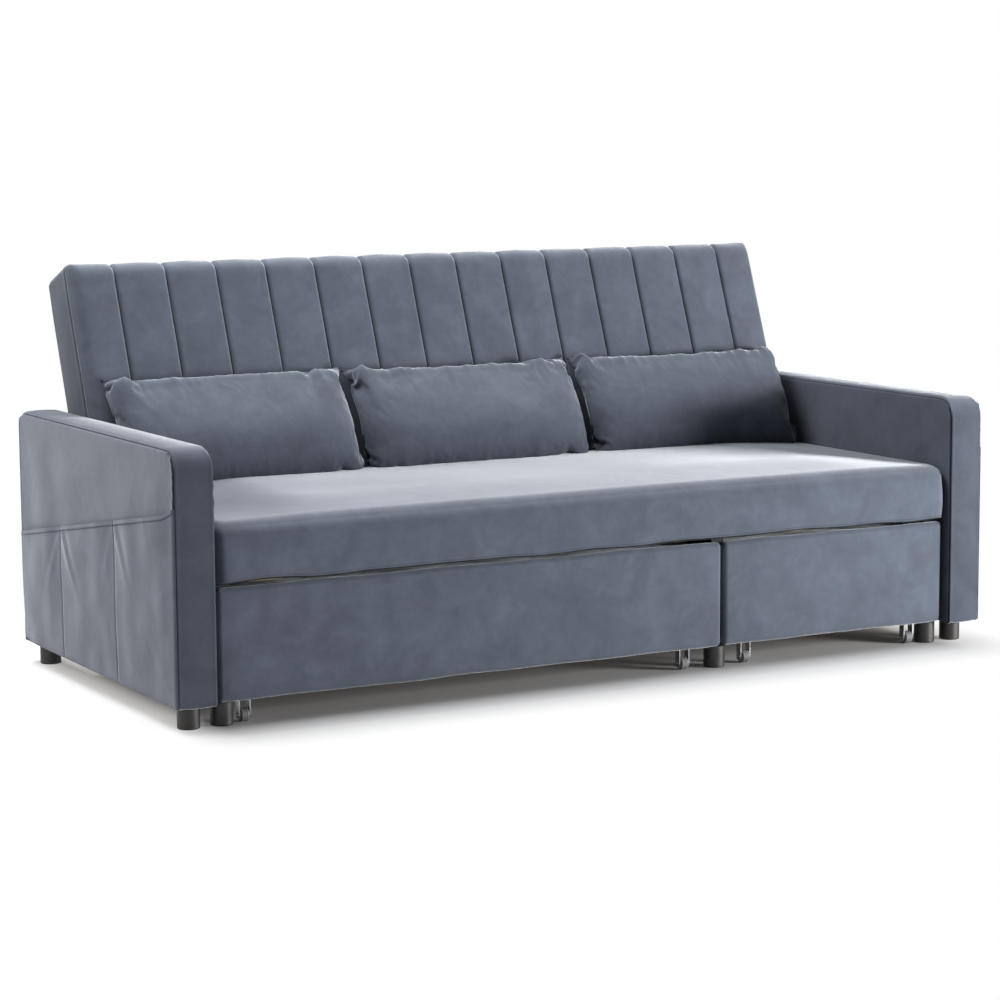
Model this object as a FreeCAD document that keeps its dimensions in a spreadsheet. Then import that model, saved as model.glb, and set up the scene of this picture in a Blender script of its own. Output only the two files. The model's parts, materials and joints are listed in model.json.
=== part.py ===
import FreeCAD, Part

import math
import os

import Sketcher
from FreeCAD import Placement, Rotation, Vector

# Driving sizes in millimetres and degrees. Depths run back from the front of the arms,
# heights up from the floor, and widths out from the middle of the sofa.
SIZES = {
    # arms
    "inside_width": 1934,
    "arm_width": 98,
    "arm_depth": 960,
    "arm_height": 607,
    "arm_front_round": 55,
    "arm_rear_round": 42,
    "arm_edge_round": 8,
    "arm_wadding": 12,
    "arm_rail": 30,
    "arm_board": 12,
    "fit_gap": 0.3,
    # side pockets
    "pocket_gap": 5,
    "pocket_cloth": 1.5,
    "pocket_margin": 14,
    "pocket_rise": 15,
    "pocket_hem_front": 471,
    "pocket_hem_rear": 316,
    "pocket_width": 338,
    "pocket_seam": 4,
    # legs
    "leg_height": 51,
    "leg_radius": 25,
    "leg_edge": 3,
    "arm_leg_front": 57.5,
    "arm_leg_rear_inset": 55,
    "base_leg_front": 58,
    "base_leg_rear_inset": 48,
    # boards under the seat
    "base_front_gap": 3,
    "base_board": 32,
    "base_arm_gap": 12,
    "bed_split": 321,
    "rear_panel_thickness": 22,
    "rear_panel_rise": 9,
    "rear_panel_round": 4.4,
    # bolts between the boards and the arms
    "bolt_radius": 4,
    "bolt_head": 8,
    "bolt_head_height": 5,
    "bolt_sink": 1,
    "bolt_clearance": 0.05,
    "bolt_front_inset": 90,
    "bolt_rear_inset": 60,
    "spacer_radius": 16,
    # seat
    "seat_bottom": 310,
    "seat_edge": 442,
    "seat_crown": 17,
    "seat_cross_crown": 7,
    "seat_front": 7,
    "seat_depth": 626,
    "seat_side_gap": 3,
    "seat_front_round": 26,
    "seat_rear_round": 16,
    "seat_end_round": 20,
    "seat_wall": 22,
    "seat_rail_width": 42,
    "seat_rail_height": 38,
    "seat_slat_width": 62,
    "seat_slat_height": 12,
    "seat_slats": 12,
    "dust_cloth": 1,
    # backrest, whose pivot is half its thickness behind its front face
    "back_lean": 21,
    "back_seat_gap": 6,
    "back_bed_step": 2,
    "back_sweep_gap": 8,
    "back_thickness": 160,
    "back_length": 611,
    "back_side_gap": 7,
    "channels": 13,
    "end_channel": 111.75,
    "channel_crown": 7,
    "back_top_round": 46,
    "back_rear_round": 20,
    "back_end_round": 42,
    "back_end_round_width": 34,
    "back_frame_depth": 45,
    "back_frame_low": 45,
    "back_top_padding": 51,
    "back_frame_end": 36,
    "back_rail": 45,
    "back_upright": 40,
    "back_cover": 3,
    # recline hinges
    "hinge_inset": 100,
    "hinge_plate": 5,
    "hinge_gap": 1,
    "hinge_eye": 22,
    "hinge_pin": 8,
    "hinge_pin_head": 12,
    "hinge_pin_head_height": 2.7,
    "hinge_clearance": 0.05,
    "hinge_flange": 46,
    "hinge_flange_height": 57,
    "hinge_flange_gap": 4,
    "hinge_reach": 30,
    "hinge_slot_side": 8,
    "hinge_slot_front": 34,
    "hinge_arm": 180,
    "screw_radius": 4,
    "screw_head": 7.2,
    "screw_head_height": 3,
    # pull-out beds
    "bed_panel_front": 18,
    "bed_panel_thickness": 25,
    "bed_leg_clearance": 2,
    "bed_panel_drop": 3,
    "bed_panel_top_gap": 8,
    "bed_panel_gap": 6,
    "bed_panel_round": 5,
    "bed_side_clearance": 6,
    "bed_board": 18,
    "bed_rear_gap": 18,
    "deck_tube": 25,
    "deck_tube_wall": 1.5,
    "deck_link_space": 8,
    "deck_front_gap": 4,
    "deck_rear_gap": 12,
    "deck_slat_width": 60,
    "deck_slat_height": 10,
    "deck_slats": 7,
    "bed_cushion_gap": 20,
    "bed_cushion_thickness": 52,
    "bed_cushion_round": 14,
    "bed_cushion_crown": 4,
    "bed_cushion_cross_crown": 2,
    "link_length": 170,
    "link_angle": 5,
    "link_width": 24,
    "link_thickness": 5,
    "link_pin": 5,
    "front_link_inset": 69,
    "rear_link_inset": 59,
    "glide_length": 120,
    "glide_height": 20,
    "glide_thickness": 5.5,
    # casters of the pull-out beds
    "wheel_radius": 15,
    "wheel_width": 20,
    "wheel_edge": 5,
    "axle_radius": 2.5,
    "axle_clearance": 0.05,
    "axle_head": 4.25,
    "axle_head_height": 1.5,
    "fork_side_gap": 1.5,
    "fork_sheet": 2.5,
    "fork_width": 18,
    "fork_plate_length": 36,
    "caster_inset": 19,
    "caster_outer": 30,
    "caster_inner": 64,
    # loose pillows
    "pillow_width": 618,
    "pillow_height": 258,
    "pillow_thickness": 122,
    "pillow_gap": 11,
    "pillow_seam": 3.5,
    "pillow_draw_in": 13,
    "pillow_clearance": 0.5,
}


class Dim:
    """A size with its number and the formula that binds a property to the sheet."""

    def __init__(self, value, text):
        self.value = float(value)
        self.text = text

    def __float__(self):
        return self.value

    def __add__(self, other):
        other = dim(other)
        return Dim(self.value + other.value, f"({self.text} + {other.text})")

    def __sub__(self, other):
        other = dim(other)
        return Dim(self.value - other.value, f"({self.text} - {other.text})")

    def __mul__(self, other):
        other = dim(other)
        return Dim(self.value * other.value, f"({self.text} * {other.text})")

    def __truediv__(self, other):
        other = dim(other)
        return Dim(self.value / other.value, f"({self.text} / {other.text})")

    def __neg__(self):
        return self * -1

    def __radd__(self, other):
        return dim(other) + self

    def __rsub__(self, other):
        return dim(other) - self

    def __rmul__(self, other):
        return dim(other) * self


def dim(number):
    """A plain number as a Dim, and a Dim as it is."""
    return number if isinstance(number, Dim) else Dim(number, repr(float(number)))


class Sizes:
    """The sheet's sizes by name."""

    def __init__(self, sheet):
        for name in SIZES:
            setattr(self, name, Dim(getattr(sheet, name), f"Sizes.{name}"))


doc = FreeCAD.newDocument("sleeper_sofa")
sheet = doc.addObject("Spreadsheet::Sheet", "Sizes")
for row, (size_name, size_value) in enumerate(SIZES.items(), start=1):
    sheet.set(f"A{row}", size_name)
    sheet.set(f"B{row}", str(size_value))
    sheet.setAlias(f"B{row}", size_name)
doc.recompute()
s = Sizes(sheet)

# Places that several sub-parts share, from the floor up and from the front back
inside = s.inside_width / 2
arm_outer = inside + s.arm_width
board_outer = inside - s.base_arm_gap
board_inner = board_outer - s.base_board
split_half = s.base_board / 2
seat_half = inside - s.seat_side_gap
seat_rear = s.seat_front + s.seat_depth
half_back = s.back_thickness / 2
back_half = inside - s.back_side_gap
hinge_place = back_half - s.hinge_inset
pivot_depth = seat_rear + s.back_seat_gap + half_back
pivot_height = s.seat_edge + s.back_bed_step - half_back
rear_panel_front = pivot_depth - s.rear_panel_thickness / 2
rear_panel_top = pivot_height - half_back - s.back_sweep_gap
bed_panel_bottom = s.leg_height + s.bed_leg_clearance
bed_frame_bottom = bed_panel_bottom + s.bed_panel_drop
bed_panel_top = s.seat_bottom - s.bed_panel_top_gap
bed_panel_rear = s.bed_panel_front + s.bed_panel_thickness
bed_rear = rear_panel_front - s.bed_rear_gap
bed_cushion_top = s.seat_bottom - s.bed_cushion_gap
deck_top = bed_cushion_top - s.bed_cushion_thickness
bed_board_top = deck_top - s.deck_slat_height
bed_rail_top = bed_board_top - s.deck_tube
deck_front = bed_panel_rear + s.deck_front_gap
deck_rear = bed_rear - s.bed_board - s.deck_rear_gap
base_front = bed_panel_rear + s.base_front_gap
base_leg_rear = rear_panel_front - s.base_leg_rear_inset
fit_gap = s.fit_gap

# The arm's frame stops where the rounded front corner leaves the cover its full thickness
arm_hollow_top = s.arm_height - s.arm_front_round

# Bolts from the outer boards into the arms
BOLT_DEPTHS = (base_front + s.bolt_front_inset, base_leg_rear - s.bolt_rear_inset)
bolt_height = (s.leg_height + s.seat_bottom) / 2
bolt_hole = s.bolt_radius + s.bolt_clearance
bolt_recess = s.bolt_head_height + s.bolt_sink

# The seat's wooden frame, inside the cushion
seat_frame_top = s.seat_bottom + s.seat_rail_height + s.seat_slat_height
frame_side = seat_half - s.seat_wall
frame_front = s.seat_front + s.seat_wall
frame_rear = seat_rear - s.seat_wall

# The backrest's hollow and its two hinges, about the pivot
back_frame_front = half_back - s.back_cover - s.back_frame_depth
back_frame_high = s.back_length - s.back_top_padding
hinge_inner = hinge_place - s.hinge_plate
hinge_outer = hinge_place + s.hinge_gap + s.hinge_plate
hinge_slot_low = hinge_inner - s.hinge_slot_side
hinge_slot_high = hinge_outer + s.hinge_slot_side
hinge_foot = rear_panel_top - s.hinge_flange_gap - s.hinge_flange_height
bracket_screw_place = hinge_inner - s.hinge_flange / 2
plate_screw_depth = (back_frame_front + half_back) / 2
screw_hole = s.screw_radius + s.hinge_clearance
SCREW_STEPS = (0.2, 0.5, 0.8)
UPRIGHT_SHARES = (-0.5, 0, 0.5)

# How far a cutting box runs past the face that it opens
CUT_PAST = 1

# The backrest's lean, and the sofa's whole depth from it
lean_sine = Dim(math.sin(math.radians(s.back_lean.value)), "sin(Sizes.back_lean * 1 deg)")
lean_cosine = Dim(math.cos(math.radians(s.back_lean.value)), "cos(Sizes.back_lean * 1 deg)")
rear_corner = half_back - s.back_rear_round
upper_corner = s.back_length - s.back_rear_round
overall_depth = pivot_depth + rear_corner * lean_cosine
overall_depth = overall_depth + upper_corner * lean_sine + s.back_rear_round
middle_depth = overall_depth / 2

SUB_PARTS = []


def keep(item, label, depth=None, height=None, leaning=False):
    """Names a sub-part and sets it in the sofa's own frame, whose origin is under its middle."""
    item.Label = label
    angle = -s.back_lean.value if leaning else 0
    turn = Rotation(Vector(1, 0, 0), angle)
    item.Placement = Placement(Vector(0, 0, 0), turn)
    item.setExpression("Placement.Base.y", (dim(depth or 0) - middle_depth).text)
    item.setExpression("Placement.Base.z", dim(height or 0).text)
    SUB_PARTS.append(item)
    return item


def keep_leaning(item, label):
    """Sets a sub-part of the backrest, drawn upright about its pivot, at the pivot and leaning."""
    return keep(item, label, pivot_depth, pivot_height, leaning=True)


def span(side, near, far):
    """Lowest end and length along X of what reaches from near to far on the right or left side."""
    low = near if side > 0 else -dim(far)
    return low, dim(far) - near


# Plain solids


def block(name, x, y, z):
    """A bar from three pairs of its lowest place and its length along X, Y and Z."""
    box = doc.addObject("Part::Box", name)
    for axis, length, (place, size) in zip("xyz", ("Length", "Width", "Height"), (x, y, z)):
        box.setExpression(f"Placement.Base.{axis}", dim(place).text)
        box.setExpression(length, dim(size).text)
    return box


def cross_rod(name, x, y, z, radius):
    """A round bar along X from its lowest end and length in x, centred at y and z."""
    rod = doc.addObject("Part::Cylinder", name)
    rod.Placement = Placement(Vector(0, 0, 0), Rotation(Vector(0, 1, 0), 90))
    for axis, place in zip("xyz", (x[0], y, z)):
        rod.setExpression(f"Placement.Base.{axis}", dim(place).text)
    rod.setExpression("Height", dim(x[1]).text)
    rod.setExpression("Radius", dim(radius).text)
    return rod


def deep_rod(name, x, y, z, radius):
    """A round bar along Y from its lowest end and length in y, centred at x and z."""
    rod = doc.addObject("Part::Cylinder", name)
    rod.Placement = Placement(Vector(0, 0, 0), Rotation(Vector(1, 0, 0), -90))
    for axis, place in zip("xyz", (x, y[0], z)):
        rod.setExpression(f"Placement.Base.{axis}", dim(place).text)
    rod.setExpression("Height", dim(y[1]).text)
    rod.setExpression("Radius", dim(radius).text)
    return rod


def joined(name, pieces):
    """Pieces joined into one solid."""
    fuse = doc.addObject("Part::MultiFuse", name)
    fuse.Shapes = pieces
    return fuse


def cut(name, base, tool):
    """A base with a tool cut out of it."""
    result = doc.addObject("Part::Cut", name)
    result.Base = base
    result.Tool = tool
    return result


def group(name, pieces):
    """Separate solids that make up one sub-part."""
    compound = doc.addObject("Part::Compound", name)
    compound.Links = pieces
    return compound


# Sketched solids


def sketch_on(body, name, role, offset=0):
    """A sketch on one of the body's own planes, moved along the plane's normal."""
    plane = next(p for p in body.Origin.OriginFeatures if p.Role == role)
    sketch = body.newObject("Sketcher::SketchObject", name)
    sketch.AttachmentSupport = (plane, "")
    sketch.MapMode = "FlatFace"
    sketch.setExpression("AttachmentOffset.Base.z", dim(offset).text)
    return sketch


def hold(sketch, geometry, point, place):
    """Holds a point of the sketch at its two distances from the origin."""
    for kind, distance in zip(("DistanceX", "DistanceY"), place):
        distance = dim(distance)
        rule = Sketcher.Constraint(kind, -1, 1, geometry, point, distance.value)
        index = sketch.addConstraint(rule)
        sketch.setExpression(f"Constraints[{index}]", distance.text)


def outline(sketch, corners):
    """A closed outline of straight lines through its corners."""
    points = [Vector(float(x), float(y), 0) for x, y in corners]
    count = len(points)
    for i in range(count):
        sketch.addGeometry(Part.LineSegment(points[i], points[(i + 1) % count]))
    for i in range(count):
        sketch.addConstraint(Sketcher.Constraint("Coincident", i, 2, (i + 1) % count, 1))
        hold(sketch, i, 1, corners[i])


def ring(sketch, centre, radius):
    """A circle about a held centre."""
    radius = dim(radius)
    middle = Vector(float(centre[0]), float(centre[1]), 0)
    geometry = sketch.addGeometry(Part.Circle(middle, Vector(0, 0, 1), radius.value))
    index = sketch.addConstraint(Sketcher.Constraint("Radius", geometry, radius.value))
    sketch.setExpression(f"Constraints[{index}]", radius.text)
    hold(sketch, geometry, 3, centre)


def rectangle(low, high):
    """Corners of a rectangle from its lowest and highest corners."""
    return [low, (high[0], low[1]), high, (low[0], high[1])]


def pad(body, sketch, length):
    """Adds the sketch's face along its plane's normal."""
    feature = body.newObject("PartDesign::Pad", f"{sketch.Name}_pad")
    feature.Profile = sketch
    feature.setExpression("Length", dim(length).text)
    doc.recompute()
    return feature


def pocket(body, sketch, length):
    """Cuts the sketch's face along its plane's normal, and checks that it cuts."""
    before = body.Shape.Volume
    feature = body.newObject("PartDesign::Pocket", f"{sketch.Name}_pocket")
    feature.Profile = sketch
    feature.Reversed = True
    feature.setExpression("Length", dim(length).text)
    doc.recompute()
    if body.Shape.Volume >= before:
        raise ValueError(f"{feature.Name} cuts nothing")
    return feature


def fillet(body, base, chosen, radius):
    """Rounds the edges of the last feature that a test picks."""
    edges = base.Shape.Edges
    names = [f"Edge{i}" for i, edge in enumerate(edges, start=1) if chosen(edge)]
    feature = body.newObject("PartDesign::Fillet", f"{base.Name}_round")
    feature.Base = (base, names)
    feature.setExpression("Radius", dim(radius).text)
    doc.recompute()
    return feature


def near(value, wanted):
    """True where two lengths are the same place."""
    return abs(value - float(wanted)) < 0.01


def along_x(edge):
    """True for an edge that runs along X."""
    box = edge.BoundBox
    return box.XLength > 1 and box.YLength < 0.01 and box.ZLength < 0.01


# Legs


def leg(name, x, y):
    """A round plastic leg with a rounded foot edge."""
    post = doc.addObject("Part::Cylinder", f"{name}_post")
    post.setExpression("Placement.Base.x", dim(x).text)
    post.setExpression("Placement.Base.y", dim(y).text)
    post.setExpression("Radius", s.leg_radius.text)
    post.setExpression("Height", s.leg_height.text)
    doc.recompute()
    foot = [i for i, e in enumerate(post.Shape.Edges, start=1) if e.BoundBox.ZMax < 0.01]
    rounded = doc.addObject("Part::Fillet", name)
    rounded.Base = post
    rounded.Edges = [(i, s.leg_edge.value, s.leg_edge.value) for i in foot]
    return rounded


def make_legs():
    """Four legs under the arms, and six under the three boards of the base."""
    arm_middle = inside + s.arm_width / 2
    arm_leg_rear = s.arm_depth - s.arm_leg_rear_inset
    arm_legs = [
        leg(f"arm_leg_{i}", x, y)
        for i, (x, y) in enumerate(
            (x, y) for x in (-arm_middle, arm_middle) for y in (s.arm_leg_front, arm_leg_rear)
        )
    ]
    keep(group("arm_legs_group", arm_legs), "arm_legs")
    board_middle = board_inner + split_half
    base_legs = [
        leg(f"base_leg_{i}", x, y)
        for i, (x, y) in enumerate(
            (x, y)
            for x in (-board_middle, s.bed_split, board_middle)
            for y in (s.base_leg_front, base_leg_rear)
        )
    ]
    keep(group("base_legs_group", base_legs), "base_legs")


# Arms


def make_arm_cover(side, label):
    """The padded arm cover: a rounded slab, hollow below for the arm's wooden frame."""
    body = doc.addObject("PartDesign::Body", f"{label}_body")
    low, width = span(side, inside, arm_outer)
    profile = sketch_on(body, f"{label}_side", "YZ_Plane", low)
    outline(profile, rectangle((0, s.leg_height), (s.arm_depth, s.arm_height)))
    slab = pad(body, profile, width)
    front = fillet(
        body,
        slab,
        lambda e: along_x(e) and near(e.BoundBox.ZMin, s.arm_height) and near(e.BoundBox.YMin, 0),
        s.arm_front_round,
    )
    rear = fillet(
        body,
        front,
        lambda e: along_x(e)
        and near(e.BoundBox.ZMin, s.arm_height)
        and near(e.BoundBox.YMin, s.arm_depth),
        s.arm_rear_round,
    )
    fillet(
        body,
        rear,
        lambda e: e.BoundBox.XLength < 0.01 and not near(e.BoundBox.ZMax, s.leg_height),
        s.arm_edge_round,
    )
    hollow = sketch_on(body, f"{label}_hollow", "XY_Plane", s.leg_height)
    near_wall, hollow_width = span(side, inside + s.arm_wadding, arm_outer - s.arm_wadding)
    outline(
        hollow,
        rectangle(
            (near_wall, s.arm_wadding),
            (near_wall + hollow_width, s.arm_depth - s.arm_wadding),
        ),
    )
    pocket(body, hollow, arm_hollow_top - s.leg_height)
    inner_wall = span(side, inside, inside + s.arm_wadding)[0]
    holes = sketch_on(body, f"{label}_holes", "YZ_Plane", inner_wall)
    for depth in BOLT_DEPTHS:
        ring(holes, (depth, bolt_height), bolt_hole)
    pocket(body, holes, s.arm_wadding)
    keep(body, label)


def make_arm_frame(side, label):
    """The arm's wooden frame: posts, rails and an inner board, inside the cover's hollow."""
    low, width = span(side, inside + s.arm_wadding, arm_outer - s.arm_wadding)
    front = s.arm_wadding
    rear = s.arm_depth - s.arm_wadding
    board = span(side, inside + s.arm_wadding, inside + s.arm_wadding + s.arm_board)
    body = span(side, inside + s.arm_wadding + s.arm_board, arm_outer - s.arm_wadding)
    rail_length = (s.arm_depth - 2 * s.arm_wadding, s.arm_rail)
    post_bottom = s.leg_height + s.arm_rail
    post = (post_bottom, arm_hollow_top - s.arm_rail - post_bottom)
    plank = block(
        f"{label}_plank",
        board,
        (front, rail_length[0]),
        (post_bottom, post[1]),
    )
    hole_pair = [
        cross_rod(f"{label}_bolt_hole_{i}", board, depth, bolt_height, bolt_hole)
        for i, depth in enumerate(BOLT_DEPTHS)
    ]
    drilled = cut(f"{label}_board", plank, group(f"{label}_bolt_holes", hole_pair))
    pieces = [
        block(
            f"{label}_bottom_rail",
            (low, width),
            (front, rail_length[0]),
            (s.leg_height, s.arm_rail),
        ),
        block(
            f"{label}_top_rail",
            (low, width),
            (front, rail_length[0]),
            (arm_hollow_top - s.arm_rail, s.arm_rail),
        ),
        block(f"{label}_front_post", body, (front, s.arm_rail), post),
        block(f"{label}_middle_post", body, ((front + rear) / 2, s.arm_rail), post),
        block(f"{label}_rear_post", body, (rear - s.arm_rail, s.arm_rail), post),
        drilled,
    ]
    keep(group(f"{label}_group", pieces), label)


def hem_height(depth):
    """Height of the pockets' slanted hem at a depth."""
    fall = (s.pocket_hem_front - s.pocket_hem_rear) / s.arm_depth
    return s.pocket_hem_front - fall * depth


def make_pocket(side, label):
    """Three flat pockets on the arm's outer side: a cloth panel held off it by sewn seams."""
    front = s.pocket_margin
    rear = s.arm_depth - s.pocket_margin
    pocket_bottom = s.leg_height + s.pocket_rise
    cloth = doc.addObject("PartDesign::Body", f"{label}_cloth")
    low, thick = span(side, arm_outer + s.pocket_gap, arm_outer + s.pocket_gap + s.pocket_cloth)
    profile = sketch_on(cloth, f"{label}_outline", "YZ_Plane", low)
    outline(
        profile,
        [
            (front, pocket_bottom),
            (rear, pocket_bottom),
            (rear, hem_height(rear)),
            (front, hem_height(front)),
        ],
    )
    pad(cloth, profile, thick)
    gap = span(side, arm_outer, arm_outer + s.pocket_gap)
    seam_bottom = pocket_bottom + s.pocket_seam
    seams = []
    places = (front, s.pocket_width, s.pocket_width * 2, rear - s.pocket_seam)
    for i, depth in enumerate(places):
        top = hem_height(depth + s.pocket_seam)
        strip = block(
            f"{label}_seam_{i}",
            gap,
            (depth, s.pocket_seam),
            (seam_bottom, top - seam_bottom),
        )
        seams.append(strip)
    bottom = block(
        f"{label}_bottom_seam",
        gap,
        (front, rear - front),
        (pocket_bottom, s.pocket_seam),
    )
    keep(group(f"{label}_group", [cloth, *seams, bottom]), label)


# Boards under the seat


def make_base_board(label, low, drilled):
    """A board on two legs that carries the seat, notched below the backrest's swing."""
    body = doc.addObject("PartDesign::Body", f"{label}_body")
    profile = sketch_on(body, f"{label}_side", "YZ_Plane", low)
    outline(
        profile,
        [
            (base_front, s.leg_height),
            (rear_panel_front, s.leg_height),
            (rear_panel_front, rear_panel_top),
            (seat_rear, rear_panel_top),
            (seat_rear, s.seat_bottom),
            (base_front, s.seat_bottom),
        ],
    )
    pad(body, profile, s.base_board)
    if drilled:
        holes = sketch_on(body, f"{label}_holes", "YZ_Plane", low)
        for depth in BOLT_DEPTHS:
            ring(holes, (depth, bolt_height), bolt_hole)
        pocket(body, holes, s.base_board)
        head_side = low if drilled > 0 else low + s.base_board - bolt_recess
        sinks = sketch_on(body, f"{label}_sinks", "YZ_Plane", head_side)
        for depth in BOLT_DEPTHS:
            ring(sinks, (depth, bolt_height), s.bolt_head + s.bolt_clearance)
        pocket(body, sinks, bolt_recess)
    keep(body, label)


def make_arm_bolts():
    """Bolts from the outer boards into the arms, with the spacers that they pass through."""
    bolts = []
    spacers = []
    for side in (-1, 1):
        for i, depth in enumerate(BOLT_DEPTHS):
            name = f"arm_bolt_{'right' if side > 0 else 'left'}_{i}"
            head = span(side, board_inner + s.bolt_sink, board_inner + bolt_recess)
            shank = span(side, board_inner + s.bolt_sink, inside + s.arm_wadding + s.arm_board)
            bolts.append(
                joined(
                    name,
                    [
                        cross_rod(f"{name}_head", head, depth, bolt_height, s.bolt_head),
                        cross_rod(f"{name}_shank", shank, depth, bolt_height, s.bolt_radius),
                    ],
                )
            )
            gap = span(side, board_outer, inside)
            tube = cross_rod(f"{name}_spacer_tube", gap, depth, bolt_height, s.spacer_radius)
            bore = cross_rod(f"{name}_spacer_bore", gap, depth, bolt_height, bolt_hole)
            spacers.append(cut(f"{name}_spacer", tube, bore))
    keep(group("arm_bolts_group", bolts), "arm_bolts")
    keep(group("arm_spacers_group", spacers), "arm_spacers")


def make_rear_panel():
    """The covered board that closes the base at the rear and carries the hinge brackets."""
    body = doc.addObject("PartDesign::Body", "rear_panel_body")
    profile = sketch_on(body, "rear_panel_side", "YZ_Plane", -inside)
    outline(
        profile,
        rectangle(
            (rear_panel_front, s.leg_height + s.rear_panel_rise),
            (rear_panel_front + s.rear_panel_thickness, rear_panel_top),
        ),
    )
    board = pad(body, profile, s.inside_width)
    fillet(
        body,
        board,
        lambda e: along_x(e) and e.BoundBox.YMin > rear_panel_front.value + 1,
        s.rear_panel_round,
    )
    keep(body, "rear_panel")


# Seat


def arc(start, middle, end):
    """An arc through three points of the YZ plane at one x."""
    return Part.Arc(Vector(*start), Vector(*middle), Vector(*end)).toShape()


def line(start, end):
    """A straight edge between two points."""
    return Part.LineSegment(Vector(*start), Vector(*end)).toShape()


ROUND_MIDDLE = math.sin(math.radians(45))


def corner_point(centre, radius, ahead):
    """Middle of a quarter round towards the front or rear and up."""
    step = radius * ROUND_MIDDLE
    return centre[0] + (-step if ahead else step), centre[1] + step


def cushion_section(x, front, rear, bottom, top, crown, front_round, rear_round):
    """A cushion's closed section at x: flat below, rounded above, its top a shallow arc."""
    ahead = (front + front_round, top - front_round)
    behind = (rear - rear_round, top - rear_round)
    front_middle = corner_point(ahead, front_round, True)
    rear_middle = corner_point(behind, rear_round, False)
    middle = ((ahead[0] + behind[0]) / 2, top + crown)
    return Part.Wire(
        [
            line((x, front, bottom), (x, front, ahead[1])),
            arc((x, front, ahead[1]), (x, *front_middle), (x, ahead[0], top)),
            arc((x, ahead[0], top), (x, *middle), (x, behind[0], top)),
            arc((x, behind[0], top), (x, *rear_middle), (x, rear, behind[1])),
            line((x, rear, behind[1]), (x, rear, bottom)),
            line((x, rear, bottom), (x, front, bottom)),
        ]
    )


def rounding(share, radius):
    """How far a rounded end lies back at a share of its radius from the end."""
    return radius * (1 - math.sqrt(max(0.0, 1 - (1 - share) ** 2)))


END_SHARES = (0.0, 0.06, 0.25, 0.55, 1.0)
CROWN_PLACES = (-1.0, -0.75, -0.4, 0.0, 0.4, 0.75, 1.0)


def cushion(low, high, front, rear, bottom, edge, crowns, rounds):
    """A crowned cushion along x, with rounded, drawn-in ends.

    Its two crowns are the rise along its length and the rise across its depth, and its rounds are
    those of the front edge, the rear edge and the ends.
    """
    along_crown, cross_crown = crowns
    front_round, rear_round, end_round = rounds
    flat_low = low + end_round
    flat_high = high - end_round
    middle = (flat_low + flat_high) / 2
    reach = (flat_high - flat_low) / 2

    def section(x, inset):
        lengthwise = 1 - min(1.0, abs(x - middle) / reach) ** 4
        return cushion_section(
            x,
            front + inset,
            rear - inset,
            bottom,
            edge + along_crown * lengthwise - inset,
            cross_crown,
            front_round,
            rear_round,
        )

    main = [section(middle + reach * place, 0) for place in CROWN_PLACES]
    pieces = [Part.makeLoft(main, True, False)]
    left = [section(low + share * end_round, rounding(share, end_round)) for share in END_SHARES]
    right = [
        section(high - share * end_round, rounding(share, end_round)) for share in END_SHARES
    ]
    pieces.append(Part.makeLoft(left, True, True))
    pieces.append(Part.makeLoft(right, True, True))
    return pieces[0].multiFuse(pieces[1:]).removeSplitter()


def as_solid(shape):
    """The one solid of a shape that a boolean left in a compound."""
    if len(shape.Solids) != 1:
        raise ValueError(f"expected one solid and found {len(shape.Solids)}")
    return shape.Solids[0]


def feature(name, shape):
    """A sub-part whose shape is set from the sheet's sizes."""
    item = doc.addObject("Part::Feature", name)
    item.Shape = shape
    return item


def box_solid(low, high):
    """A plain box between two corners."""
    return Part.makeBox(*(b - a for a, b in zip(low, high)), Vector(*low))


def make_seat_cushion():
    """The one long seat cushion: crowned on top, with a recess below for the seat frame."""
    shape = cushion(
        -seat_half.value,
        seat_half.value,
        s.seat_front.value,
        seat_rear.value,
        s.seat_bottom.value,
        s.seat_edge.value,
        (s.seat_crown.value - s.seat_cross_crown.value, s.seat_cross_crown.value),
        (s.seat_front_round.value, s.seat_rear_round.value, s.seat_end_round.value),
    )
    recess = box_solid(
        (-frame_side.value, frame_front.value, s.seat_bottom.value - CUT_PAST),
        (frame_side.value, frame_rear.value, seat_frame_top.value + fit_gap.value),
    )
    keep(feature("seat_cushion_shape", as_solid(shape.cut(recess))), "seat_cushion")


def make_seat_frame():
    """The wooden seat frame: four rails below twelve slats, inside the cushion's recess."""
    side = frame_side - fit_gap
    front = frame_front + fit_gap
    rear = frame_rear - fit_gap
    rail = (s.seat_bottom, s.seat_rail_height)
    inner = side - s.seat_rail_width
    pieces = [
        block("seat_front_rail", (-side, side * 2), (front, s.seat_rail_width), rail),
        block(
            "seat_rear_rail",
            (-side, side * 2),
            (rear - s.seat_rail_width, s.seat_rail_width),
            rail,
        ),
    ]
    between = (front + s.seat_rail_width, rear - front - 2 * s.seat_rail_width)
    for name, low in (("left", -side), ("right", inner)):
        pieces.append(block(f"seat_{name}_rail", (low, s.seat_rail_width), between, rail))
    count = int(s.seat_slats.value)
    pitch = (side * 2 - s.seat_slat_width) / (count - 1)
    for i in range(count):
        pieces.append(
            block(
                f"seat_slat_{i}",
                (-side + pitch * i, s.seat_slat_width),
                (front, rear - front),
                (s.seat_bottom + s.seat_rail_height, s.seat_slat_height),
            )
        )
    keep(group("seat_frame_group", pieces), "seat_frame")


def make_dust_cloth():
    """Thin cloth under the seat frame, in two fields between the boards."""
    front = frame_front
    depth = frame_rear - frame_front
    low = s.seat_bottom - s.dust_cloth
    left_field = s.bed_split - split_half + board_inner
    right_start = s.bed_split + split_half
    pieces = [
        block("dust_left", (-board_inner, left_field), (front, depth), (low, s.dust_cloth)),
        block(
            "dust_right",
            (right_start, board_inner - right_start),
            (front, depth),
            (low, s.dust_cloth),
        ),
    ]
    keep(group("dust_group", pieces), "seat_dust_cloth")


# Backrest, drawn about its pivot: y runs back through its thickness and z up its length


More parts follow.
